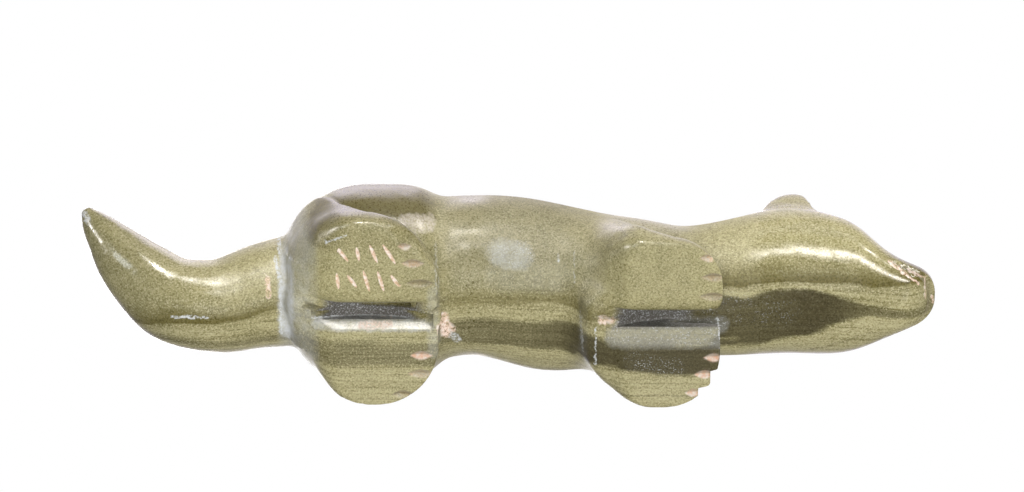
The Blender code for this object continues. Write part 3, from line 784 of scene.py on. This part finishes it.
# Scattered white grains.
SPECKS = (
    (15.8, 6, 20.8, 6.9, 1.3, 0.6),
    (28, 0.6, 34.5, 1.6, 2.4, 0.25),
    (13.4, 2.8, 26.6, 2.8, 1.2, 0.6),
    (-22, -0.2, -10, -0.2, 0.6, 0.4),
    (13, 0.9, 26, 0.9, 0.8, 0.3),
    (-1.3, -6.1, 2.3, -5.8, 1.8, 0.5),
)
# Pale abraded stone above the right hind foot's toes, which is also a painted highlight.
ABRADED_SHEEN = (
    (-13, -10.2, -9.9, -9.9, 0.7, 0.42),
    (-11.4, -9.6, -9.6, -9.4, 0.75, 0.42),
)
# Bare pinkish stone, where chips have come off and along the mouth, where the shorter line ahead of the
# other is also a painted highlight.
PINKS = (
    (-8.1, 1.6, -7.7, 4, 0.75, 1),
    (-30.1, -2.9, -29.9, -1, 0.4, 0.8),
    (11.7, 0.9, 13, 1.1, 0.5, 0.8),
    (-18.2, 1.5, -14.6, 1.4, 0.45, 0.75),
    (-7.6, 2.6, -6.9, 3.6, 0.5, 0.8),
    (53.35, -0.3, 53.5, 0.4, 0.2, 0.7),
    (47.9, -4.75, 51.5, -2.4, 0.17, 0.9),
    (50.3, -3.75, 52.3, -2.9, 0.14, 0.7),
    (52.4, -3.2, 52.4, -0.4, 0.1, 0.6),
)
# Painted shade, flecked with dust, deep in the wheel cuts fades out to this far from their walls, and starts
# this high above the soles.
SLOT_SHADE_DUST_REACH = 0.45
SLOT_SHADE_DUST_FADE = 0.35
SLOT_SHADE_DUST_LOW = 0.3
SLOT_SHADE_DUST_RISE = 1.4


def across_layers(p):
    """Distance across the stone's layers."""
    return p[:, 1] + LAYER_TILT * p[:, 2]


def layer(p):
    """Place among the layers, from the table's columns, and how dark band and lines are."""
    table = np.array(LAYERS)
    at = across_layers(p)
    x = p[:, 0]
    ahead = smooth_step((x - NECK_SPAN[0]) / NECK_FADE) * smooth_step((NECK_SPAN[1] - x) / NECK_FADE)
    x = x + NECK_AHEAD * smooth_step((p[:, 2] - NECK_LOW) / NECK_RISE) * ahead
    edges = [np.interp(x, table[:, 0], table[:, k]) for k in range(1, 6)]
    place = 1 + (at - edges[0]) / LAYER_FADE
    for k in range(4):
        share = (at - edges[k]) / (edges[k + 1] - edges[k])
        place = np.where(at > edges[k], k + 1 + share, place)
    place = np.where(at > edges[4], 5 + (at - edges[4]) / LAYER_FADE, place)
    dark, line = (np.interp(x, table[:, 0], table[:, k]) for k in (6, 7))
    return place, dark, line


def notched(p):
    """Bare stone in the claw notches, brighter on their far walls as painted light, and painted shade on
    their near walls.
    """
    bare = np.zeros(len(p))
    shade = np.zeros(len(p))
    for notch in CLAWS:
        near = np.abs(p[:, 0] - notch.x) < notch.length
        near &= (np.abs(p[:, 1] - notch.y) < 1) & (p[:, 2] < 1)
        inside = np.clip(0.9 - claw(p[near], notch) / CLAW_EDGE, 0, 1)
        far = np.clip(0.6 + (p[near, 1] - notch.y) / 0.2, 0, 1)
        bare[near] = np.maximum(bare[near], notch.bare * inside * (0.35 + 0.65 * far))
        shade[near] = np.maximum(shade[near], inside * (1 - far))
    return bare, shade


def slot_shade_dust_mask(p):
    """Painted shade with white dust in the wheel cuts: 1 on their walls, less at their ends, rims and low
    down, 0 outside them.
    """
    deep = np.zeros(len(p))
    high = np.clip((p[:, 2] - SLOT_SHADE_DUST_LOW) / SLOT_SHADE_DUST_RISE, 0, 1)
    for cut in (HIND_CUT, FORE_CUT):
        walls = np.clip((SLOT_SHADE_DUST_REACH - wheel_cut(p, cut)) / SLOT_SHADE_DUST_FADE, 0, 1)
        deep = np.maximum(deep, walls * high)
    return deep


def refine(made, chosen, cuts):
    """Divide the faces whose corners are all chosen."""
    shape = bmesh.new()
    shape.from_mesh(made.data)
    shape.verts.ensure_lookup_table()
    faces = [face for face in shape.faces if all(chosen[v.index] for v in face.verts)]
    edges = list({edge for face in faces for edge in face.edges})
    bmesh.ops.subdivide_edges(shape, edges=edges, cuts=cuts, use_grid_fill=True)
    shape.to_mesh(made.data)
    shape.free()


def places(made):
    flat = np.empty(3 * len(made.data.vertices), np.float32)
    made.data.vertices.foreach_get("co", flat)
    return flat.reshape(-1, 3).astype(float) / MM


def move(made, points):
    made.data.vertices.foreach_set("co", (points * MM).astype(np.float32).ravel())
    made.data.update()


def settle(made, first):
    """Bring new corners onto the skin."""
    points = places(made)
    new = points[first:]
    for _ in range(SETTLE_ROUNDS):
        value = in_chunks(new, form)
        slope = gradient(new)
        shift = slope * (value / ((slope**2).sum(1) + 1e-6))[:, None]
        new -= np.clip(shift, -SETTLE_MOST, SETTLE_MOST)
    new[:, 2] = np.maximum(new[:, 2], 0)
    points[first:] = new
    move(made, points)


def keep(made, **values):
    """Values at the corners, for the material."""
    for name, each in values.items():
        attribute = made.data.attributes.new(name, "FLOAT", "POINT")
        attribute.data.foreach_set("value", np.asarray(each, np.float32))


def near_cuts(p):
    """Whether points are near a claw notch or the mouth."""
    x, y, z = p.T
    ahead, beside, above = CLAW_FINE
    near = (x > MOUTH_FINE_X) & (np.abs(z - lip_height(x)) < MOUTH_FINE_HEIGHT)
    for notch in CLAWS:
        close = np.abs(x - notch.x) < notch.length / 2 + ahead
        close &= np.abs(y - notch.y) < beside
        near |= close & (z < above)
    return near


def on_marked_sole(p):
    """Whether points are on the flat of the right hind sole, round the strokes."""
    x, y, z = p.T
    flat = (z < SOLE_FLAT) & (x > STROKE_FINE_X[0]) & (x < STROKE_FINE_X[1])
    return flat & (y > STROKE_FINE_Y[0]) & (y < STROKE_FINE_Y[1])


def weasel():
    corners, faces = skin()
    made = mesh_object("weasel_stone", corners, faces)
    points = places(made)
    refine(made, near_cuts(points), 1)
    settle(made, len(points))
    refine(made, on_marked_sole(places(made)), 3)
    points = places(made)
    deep = np.where(points[:, 2] < SOLE_FLAT, strokes(points), 0)
    place, dark, line = layer(points)
    keep(made, layer=place, dark=dark, line=line, across=across_layers(points))
    bare, shade = notched(points)
    # The mouth's groove gets painted shade, like the near walls of the notches.
    shade = np.maximum(shade, mouth(points))
    keep(made, notch=bare, notch_shade=shade, slot=slot_shade_dust_mask(points), stroke=deep)
    points[:, 2] += STROKE_DEPTH * deep
    move(made, points)
    made.data.shade_smooth()
    made.data.set_sharp_from_angle(angle=math.radians(SHARP_ANGLE))
    made.data.materials.append(stone())
    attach(made, "root")
    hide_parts("weasel_carving")


class Tree:
    """A short way to write the nodes of a material or the world."""

    def __init__(self, owner):
        owner.use_nodes = True
        self.tree = owner.node_tree
        self.nodes = self.tree.nodes

    def node(self, kind, inputs, output=0, **settings):
        made = self.nodes.new("ShaderNode" + kind)
        for key, value in settings.items():
            setattr(made, key, value)
        self.put(made, inputs)
        return made.outputs[output]

    def put(self, node, inputs):
        """Values, or links to them, into a node's inputs."""
        for key, value in inputs.items():
            if isinstance(value, bpy.types.NodeSocket):
                self.tree.links.new(value, node.inputs[key])
            else:
                node.inputs[key].default_value = value

    def math(self, operation, a, b=0.0, clamp=False):
        return self.node("Math", {0: a, 1: b}, operation=operation, use_clamp=clamp)

    def times(self, first, *others):
        """The product of values, from first to last."""
        for other in others:
            first = self.math("MULTIPLY", first, other)
        return first

    def split(self, vector):
        """The X, Y and Z of a vector."""
        return self.node("SeparateXYZ", {0: vector}).node.outputs

    def scaled(self, vector, scale):
        return self.node("VectorMath", {0: vector, 1: scale}, operation="MULTIPLY")

    def noise(self, vector, scale, detail=2.0, roughness=0.5):
        inputs = {"Vector": vector, "Scale": scale, "Detail": detail, "Roughness": roughness}
        return self.node("TexNoise", inputs)

    def ramp(self, value, stops):
        """A straight ramp from pairs of a place, from 0 to 1, and a brightness or colour."""
        made = self.node("ValToRGB", {0: value})
        elements = made.node.color_ramp.elements
        while len(elements) < len(stops):
            elements.new(0.5)
        for element, (place, tint) in zip(elements, stops):
            element.position = place
            element.color = (*tint, 1.0) if isinstance(tint, tuple) else (tint, tint, tint, 1.0)
        return made

    def mix(self, share, a, b, kind="MIX"):
        a, b = ((*value, 1.0) if isinstance(value, tuple) else value for value in (a, b))
        return self.node("Mix", {0: share, 6: a, 7: b}, 2, data_type="RGBA", blend_type=kind)

    def attribute(self, name):
        return self.node("Attribute", {}, output=2, attribute_name=name)

    def marks(self, place, table):
        """1 on the marks of a table, 0 beyond them, at a place in X and Y."""
        cover = 0.0
        for x0, y0, x1, y1, half, strength in table:
            way = Vector((x1 - x0, y1 - y0, 0))
            off = self.node("VectorMath", {0: place, 1: (x0, y0, 0)}, operation="SUBTRACT")
            share = way / max(way.dot(way), 1e-6)
            share = self.node("VectorMath", {0: off, 1: share}, output=1, operation="DOT_PRODUCT")
            share = self.math("ADD", share, 0.0, clamp=True)
            near = self.node("VectorMath", {0: way, "Scale": share}, operation="SCALE")
            away = self.node("VectorMath", {0: off, 1: near}, output=1, operation="DISTANCE")
            away = self.math("POWER", self.math("DIVIDE", away, half), 2.0)
            here = self.math("SUBTRACT", 1.25, away, clamp=True)
            cover = self.math("MAXIMUM", cover, self.times(here, strength))
        return cover

    def range(self, value, low, high, to_low=0.0, to_high=1.0):
        inputs = {0: value, 1: low, 2: high, 3: to_low, 4: to_high}
        return self.node("MapRange", inputs, clamp=True)


# Colours of the stone.
OLIVE = (0.29, 0.266, 0.126)
OLIVE_YELLOW = (0.38, 0.345, 0.176)
OLIVE_DEEP = (0.15, 0.13, 0.04)
DARK_OLIVE = (0.12, 0.10, 0.022)
MOTTLE = (0.55, 0.53, 0.40)
DARK = (0.052, 0.042, 0.014)
LIGHT = (0.46, 0.42, 0.245)
# Painted shade deep in the wheel cuts.
CUT_SHADE = (0.085, 0.078, 0.066)
WHITE_DUST = (0.60, 0.62, 0.62)
FILM = (0.26, 0.262, 0.235)
PINK = (0.80, 0.50, 0.34)
PINK_WHITE = (0.85, 0.76, 0.68)
# Painted shade in the claw notches and the mouth's groove.
SHADE = (0.15, 0.125, 0.085)

# By place across the layers, from 0 to 1: how light the stone is, and how dark its bands and lines.
LAYER_COUNT = 6.0
LIGHT_LAYERS = (
    (0, 0), (0.335, 0), (0.36, 0.2), (0.42, 0.5), (0.46, 0.45), (0.5, 0), (0.66, 0),
    (0.7, 0.85), (1, 1),
)
DARK_LAYERS = (
    (0, 0), (0.15, 0), (0.24, 0.5), (0.3, 0.85), (0.337, 1), (0.35, 0.35), (0.42, 0),
    (0.455, 0), (0.505, 1), (0.64, 1), (0.675, 0), (0.825, 0),
    (0.836, 0.35), (0.85, 0), (0.92, 0), (0.935, 0.25), (0.95, 0), (1, 0),
)
# By place along the carving, from 0 at the tail to 1 at the nose: tone of the right and left side, and
# roughness.
END_X = 54.0
TONE_RIGHT = (
    (0, 0.8), (0.08, 0.86), (0.14, 1.08), (0.24, 1.1), (0.28, 1.08), (0.33, 1.05), (0.4, 1),
    (0.45, 0.75), (0.56, 0.75), (0.62, 1), (0.7, 1), (0.76, 1.16), (0.95, 1.16), (1, 1.08),
)
TONE_LEFT = (
    (0, 0.8), (0.08, 0.84), (0.14, 1.02), (0.24, 1.1), (0.28, 1.1), (0.33, 1.05), (0.4, 1.05),
    (0.45, 1.06), (0.56, 1.06), (0.62, 1), (0.7, 1), (0.76, 1.1), (0.95, 1.1), (1, 1.05),
)
FINISH = (
    (0, 0.2), (0.14, 0.2), (0.18, 0.36), (0.26, 0.45), (0.3, 0.3), (0.41, 0.3), (0.425, 0.5),
    (0.45, 0.3), (0.465, 0.3), (0.485, 0.5), (0.6, 0.5), (0.625, 0.3), (0.7, 0.3), (0.73, 0.5),
    (0.77, 0.5), (0.8, 0.21), (1, 0.21),
)


class StoneTree(Tree):
    """The places and noises, in millimetres, that all parts of the stone's look share."""

    def __init__(self, owner):
        super().__init__(owner)
        self.mm = self.scaled(self.node("TexCoord", {}, output=3), (1000.0, 1000.0, 1000.0))
        self.x, _, self.z = self.split(self.mm)
        self.run = self.range(self.x, -END_X, END_X)
        self.across = self.attribute("across")
        drawn_out = {0: self.times(self.x, 0.022), 1: self.across, 2: self.times(self.z, 0.06)}
        self.along = self.node("CombineXYZ", drawn_out)
        self.grain = self.noise(self.mm, 3.6, 3.0, 0.7)
        self.streak = self.noise(self.along, 2.4, 3.0, 0.6)
        self.wander = self.noise(self.scaled(self.mm, (0.12, 0.5, 0.5)), 1.0, 2.0)
        self.dust = self.noise(self.mm, 5.0, 2.0, 0.6)


def banded(t):
    """The colour of the olive stone and its layers, and how dark they are."""
    place = t.math("ADD", t.attribute("layer"), t.range(t.wander, 0.3, 0.7, -0.14, 0.14))
    place = t.math("ADD", place, t.range(t.noise(t.mm, 3.0, 2.0), 0.3, 0.7, -0.025, 0.025))
    place = t.math("DIVIDE", place, LAYER_COUNT)
    blotch = t.noise(t.mm, 0.55, 3.0, 0.55)
    colour = t.mix(t.range(blotch, 0.32, 0.68), OLIVE, OLIVE_YELLOW)
    colour = t.mix(t.times(t.ramp(place, LIGHT_LAYERS), 0.6), colour, LIGHT)

    # Fine lines along the layers.
    thread = t.noise(t.along, 6.0, 2.0, 0.6)
    banding = t.range(place, 0.2, 0.4, 0.12, 1.0)
    lines = t.times(t.range(t.streak, 0.5, 0.66), 0.55)
    lines = t.math("ADD", lines, t.times(t.range(thread, 0.5, 0.62), 0.36))
    colour = t.mix(t.math("MULTIPLY", lines, banding, clamp=True), colour, OLIVE_DEEP)
    pale = t.times(t.range(thread, 0.46, 0.34), banding, 0.3)
    colour = t.mix(pale, colour, LIGHT)

    # Dark bands and lines, and a dark outer layer on the right haunch, which is also painted shade in the
    # scoop above the right hind foot.
    strength = t.mix(t.range(place, 0.34, 0.40), t.attribute("line"), t.attribute("dark"))
    dark = t.times(t.ramp(place, DARK_LAYERS), strength, t.range(t.streak, 0.3, 0.6, 0.92, 1.0))
    colour = t.mix(dark, colour, t.mix(t.range(place, 0.34, 0.46), DARK_OLIVE, DARK))
    edge = t.math("ADD", t.across, t.range(t.wander, 0.3, 0.7, -0.4, 0.4))
    outer = t.times(t.range(edge, -7.4, -8.8, 0.0, 0.9), t.range(t.x, -7.0, -9.0))
    outer = t.times(outer, t.range(t.z, 0.2, 3.5, 0.3, 1.0))
    colour = t.mix(outer, colour, DARK_OLIVE)
    return colour, t.math("MAXIMUM", dark, outer)


def toned(t, colour, dark):
    """Fine mottling and light specks, then the tone by place."""
    mottled = t.times(t.range(t.grain, 0.54, 0.38), 0.95)
    colour = t.mix(mottled, colour, MOTTLE, "MULTIPLY")
    speck = t.range(t.noise(t.mm, 4.4, 2.0), 0.52, 0.66, 0.0, 0.85)
    speck = t.times(speck, t.range(dark, 0.2, 0.8, 1.0, 0.1))
    colour = t.mix(speck, colour, LIGHT)
    right, left = t.ramp(t.run, TONE_RIGHT), t.ramp(t.run, TONE_LEFT)
    tone = t.mix(t.range(t.across, -4.0, 0.5), right, left)
    return t.mix(1.0, colour, tone, "MULTIPLY")


def used(t, colour):
    """Dust, films, scuffs and bare stone, with painted shade in the wheel cuts, the claw notches and the
    mouth, and painted highlights and reflections among the films and bare stone. Returns the colour, how
    thick the film is, and how raw it is.
    """
    # Painted shade deep in the wheel cuts, with white dust in it.
    slot_shade_and_dust = t.mix(t.range(t.dust, 0.5, 0.75, 0.0, 0.5), CUT_SHADE, WHITE_DUST)
    colour = t.mix(t.attribute("slot"), colour, slot_shade_and_dust)

    # Marks have ragged edges, and nearly all of them are on the underside.
    shift = t.node("TexNoise", {"Vector": t.mm, "Scale": 1.6, "Detail": 3.0}, output=1)
    shift = t.node("VectorMath", {0: shift, 1: (0.5, 0.5, 0.5)}, operation="SUBTRACT")
    ragged = {0: t.scaled(shift, (0.7, 0.7, 0.0)), 1: t.scaled(t.mm, (1, 1, 0))}
    spot = t.node("VectorMath", ragged, operation="ADD")
    facing = t.split(t.node("NewGeometry", {}, output=1))[2]
    under = t.range(facing, 0.0, 0.3, 1.0, 0.0)

    thick = t.range(t.noise(t.mm, 2.2, 4.0, 0.7), 0.3, 0.6, 0.4, 1.0)
    film = t.times(t.marks(spot, FROSTS), thick, under)
    colour = t.mix(t.times(film, 0.7), colour, FILM)
    # Pale films of dust, also painted reflections on the belly and at the heels.
    cloudy = t.range(t.noise(t.mm, 0.6, 5.0, 0.72), 0.34, 0.66, 0.45, 1.2)
    colour = t.mix(t.times(t.marks(spot, HAZES_AND_SHEENS), cloudy, under), colour, WHITE_DUST)
    loose = t.range(t.noise(t.mm, 1.0, 3.0, 0.6), 0.42, 0.58, 0.15, 1.2)
    grains = t.times(t.marks(spot, SPECKS), t.range(t.dust, 0.57, 0.66), loose, under)
    colour = t.mix(grains, colour, WHITE_DUST)
    scuffed = t.range(t.noise(t.mm, 2.6, 4.0, 0.7), 0.40, 0.56)
    scuffed = t.times(t.marks(spot, SCUFFS), scuffed, under)
    colour = t.mix(scuffed, colour, WHITE_DUST)
    # Pale abraded stone over the right hind toes, partly a painted highlight.
    pitted = t.range(t.noise(t.mm, 3.0, 4.0, 0.7), 0.36, 0.56, 0.3, 1.0)
    abraded_sheen = t.times(t.marks(spot, ABRADED_SHEEN), pitted, t.range(t.z, 4.0, 5.5))
    colour = t.mix(abraded_sheen, colour, PINK_WHITE)

    # Painted shade on the near walls of the claw notches and along the mouth's groove, then bare stone:
    # chips, claw notches, brighter on their far walls as painted light, and strokes.
    colour = t.mix(t.times(t.attribute("notch_shade"), 0.7), colour, SHADE)
    mixed = t.noise(t.mm, 1.6, 4.0, 0.7)
    # Among the chips, the shorter line along the mouth is also a painted highlight.
    raw = t.times(t.marks(spot, PINKS), t.range(mixed, 0.36, 0.5), under)
    raw = t.math("MAXIMUM", raw, t.attribute("notch"))
    stroke = t.range(t.attribute("stroke"), 0.06, 0.3)
    stroke = t.times(stroke, t.range(mixed, 0.35, 0.55, 0.45, 0.9))
    raw = t.math("MAXIMUM", raw, stroke)
    colour = t.mix(raw, colour, t.mix(t.range(mixed, 0.4, 0.6), PINK, PINK_WHITE))
    return colour, film, t.math("MAXIMUM", raw, scuffed)


def stone():
    """Olive serpentine: fine grain, layers with dark bands and lines, worn and abraded places, and some
    painted shade and painted highlights.
    """
    made = bpy.data.materials.new("serpentine")
    t = StoneTree(made)
    colour, film, raw = used(t, toned(t, *banded(t)))
    sole = t.range(t.z, 0.03, 0.25, 1.0, 0.0)
    rough = t.math("ADD", t.ramp(t.run, FINISH), t.range(t.grain, 0.3, 0.7, -0.05, 0.05))
    rough = t.math("ADD", rough, t.times(sole, 0.15))
    rough = t.math("ADD", rough, t.times(film, 0.35))
    rough = t.math("ADD", rough, t.times(raw, 0.3), clamp=True)

    # Grain in the polish, and the faint waves that hand grinding leaves above the flat soles.
    fine = t.math("ADD", t.times(t.grain, 0.5), t.times(t.streak, 0.5))
    bump = t.node("Bump", {"Strength": 0.25, "Distance": 0.00003, "Height": fine})
    hand = t.noise(t.mm, 0.2, 2.0, 0.45)
    waves = {"Strength": t.range(t.z, 0.03, 0.4), "Distance": 0.0003, "Height": hand, "Normal": bump}
    look = {"Base Color": colour, "Roughness": rough, "Metallic": 0.0, "Normal": t.node("Bump", waves)}
    t.put(t.nodes["Principled BSDF"], look)
    return made


# The studio. The carving stands on its soles and is seen from below and slightly from its right.
CAMERA_TILT = 16
CAMERA_DISTANCE = 0.5
CAMERA_AIM = (0.00057, -0.0055, 0.012)
CAMERA_LENS = 138.9
SENSOR_WIDTH = 36.0
FLOOR_DROP = 0.0006
FLOOR_REACH = 3.0
FLOOR_PAPER = (0.86, 0.86, 0.86, 1)
LIT_MIDDLE_Y = -0.005
LIT_MIDDLE_Z = 0.008
WHITE = (1.0, 1.0, 1.0)
WARM = (1.0, 0.96, 0.92)
ROSY = (1.0, 0.97, 0.97)
LILAC = (1.0, 0.93, 1.12)
COOL = (0.88, 0.94, 1.0)


def camera():
    data = bpy.data.cameras.new("camera")
    made = placed("camera", data)
    tilt = math.radians(CAMERA_TILT)
    back = Vector((0, -math.sin(tilt), -math.cos(tilt)))
    right = Vector((1, 0, 0))
    up = back.cross(right)
    turn = Matrix((right, up, back)).transposed()
    made.matrix_world = Matrix.Translation(Vector(CAMERA_AIM) + back * CAMERA_DISTANCE) @ turn.to_4x4()
    data.lens = CAMERA_LENS
    data.sensor_width = SENSOR_WIDTH
    data.clip_start = 0.01
    data.clip_end = 20.0
    bpy.context.scene.camera = made


def light(name, way, distance, width, height, power, colour, at, glossy=True, diffuse=True):
    """A soft box that faces a place along the carving."""
    data = bpy.data.lights.new(name, "AREA")
    data.shape = "RECTANGLE"
    data.size, data.size_y = width, height
    data.energy = power
    data.color = colour
    made = placed(name, data)
    way = Vector(way).normalized()
    made.visible_glossy = glossy
    made.visible_diffuse = diffuse
    made.location = Vector((at, LIT_MIDDLE_Y, LIT_MIDDLE_Z)) + way * distance
    made.rotation_mode = "QUATERNION"
    made.rotation_quaternion = way.to_track_quat("Z", "X")


def floor():
    """A pale floor that shows only from above, so that the underside can be seen and lit."""
    mesh = bpy.data.meshes.new("floor")
    corners = [(x * FLOOR_REACH, y * FLOOR_REACH, 0) for x, y in ((-1, -1), (1, -1), (1, 1), (-1, 1))]
    mesh.from_pydata(corners, [], [(0, 1, 2, 3)])
    made = placed("floor", mesh)
    made.location = (0, 0, -FLOOR_DROP)
    paper = bpy.data.materials.new("floor_paper")
    t = Tree(paper)
    shader = t.nodes["Principled BSDF"]
    t.put(shader, {"Base Color": FLOOR_PAPER, "Roughness": 0.8})
    back = t.node("NewGeometry", {}, output=6)
    both = t.node("MixShader", {0: back, 1: shader.outputs[0], 2: t.node("BsdfTransparent", {})})
    t.put(t.nodes["Material Output"], {0: both})
    mesh.materials.append(paper)
    made.visible_shadow = False
    made.visible_diffuse = False
    made.visible_glossy = False


# Light from around, by height of its direction: straight below, low, level, and from above.
WORLD_STOPS = (
    (0.0, (0.40, 0.40, 0.41)),
    (0.5, (0.22, 0.22, 0.22)),
    (0.78, (0.32, 0.31, 0.32)),
    (0.93, (1.15, 1.08, 1.22)),
)


def world():
    """White to the camera. The stone is lit softly: dim from the camera's side and brighter around."""
    made = bpy.data.worlds.new("studio")
    t = Tree(made)
    seen = t.nodes["Background"]
    t.put(seen, {"Color": (1.0, 1.0, 1.0, 1), "Strength": 1.0})
    height = t.range(t.split(t.node("TexCoord", {}))[2], -1.0, 1.0)
    lit = t.node("Background", {"Color": t.ramp(height, WORLD_STOPS)})
    both = t.node("MixShader", {0: t.node("LightPath", {}), 1: lit, 2: seen.outputs[0]})
    t.put(t.nodes["World Output"], {0: both})
    bpy.context.scene.world = made
    bpy.context.scene.view_settings.view_transform = "Standard"


# Lights: name, way to it, distance, width, height, power, colour and place along X. Small keys and a
# window show in the polish alone, and fills and sides light the stone alone.
POLISH_LIGHTS = (
    ("key_tail", (0.08, -0.98, -0.14), 0.16, 0.035, 0.012, 0.03, WARM, -0.043),
    ("key_bevel", (-0.03, -0.96, -0.27), 0.12, 0.018, 0.014, 0.08, WARM, -0.0135),
    ("key_body", (0.04, -0.78, -0.63), 0.3, 0.014, 0.014, 0.02, WARM, -0.0043),
    ("key_brow", (0.25, -0.74, -0.62), 0.28, 0.026, 0.03, 0.12, WARM, 0.034),
    ("key_cheek", (0.03, -0.77, -0.64), 0.28, 0.04, 0.05, 0.26, WARM, 0.045),
    ("key_ahead", (0.5, -0.86, -0.05), 0.6, 0.07, 0.07, 0.8, WARM, 0),
    ("key_behind", (-0.88, -0.42, -0.1), 0.6, 0.08, 0.08, 1.2, WARM, 0),
    ("rim", (0, -0.5, 0.86), 0.1, 0.06, 0.05, 0.017, LILAC, -0.022),
    ("window", (-0.62, -0.58, -0.5), 0.8, 0.2, 0.2, 1.2, COOL, 0),
)
STONE_LIGHTS = (
    ("fill", (0.1, -0.15, -0.98), 0.9, 0.5, 0.5, 7, WHITE, 0),
    ("fill_left", (0.05, 0.8, -0.6), 0.9, 0.5, 0.5, 1.6, WHITE, 0),
    ("side", (0.15, -0.93, 0.3), 0.9, 0.5, 0.5, 5.5, ROSY, 0),
    ("side_head", (0.1, -0.95, 0.2), 0.16, 0.06, 0.06, 0.07, ROSY, 0.045),
)


weasel()
floor()
world()
camera()
for row in POLISH_LIGHTS:
    light(*row, diffuse=False)
for row in STONE_LIGHTS:
    light(*row, glossy=False)
light("above", (-0.2, 0.3, 0.93), 0.9, 0.5, 0.5, 3.5, WHITE, 0)
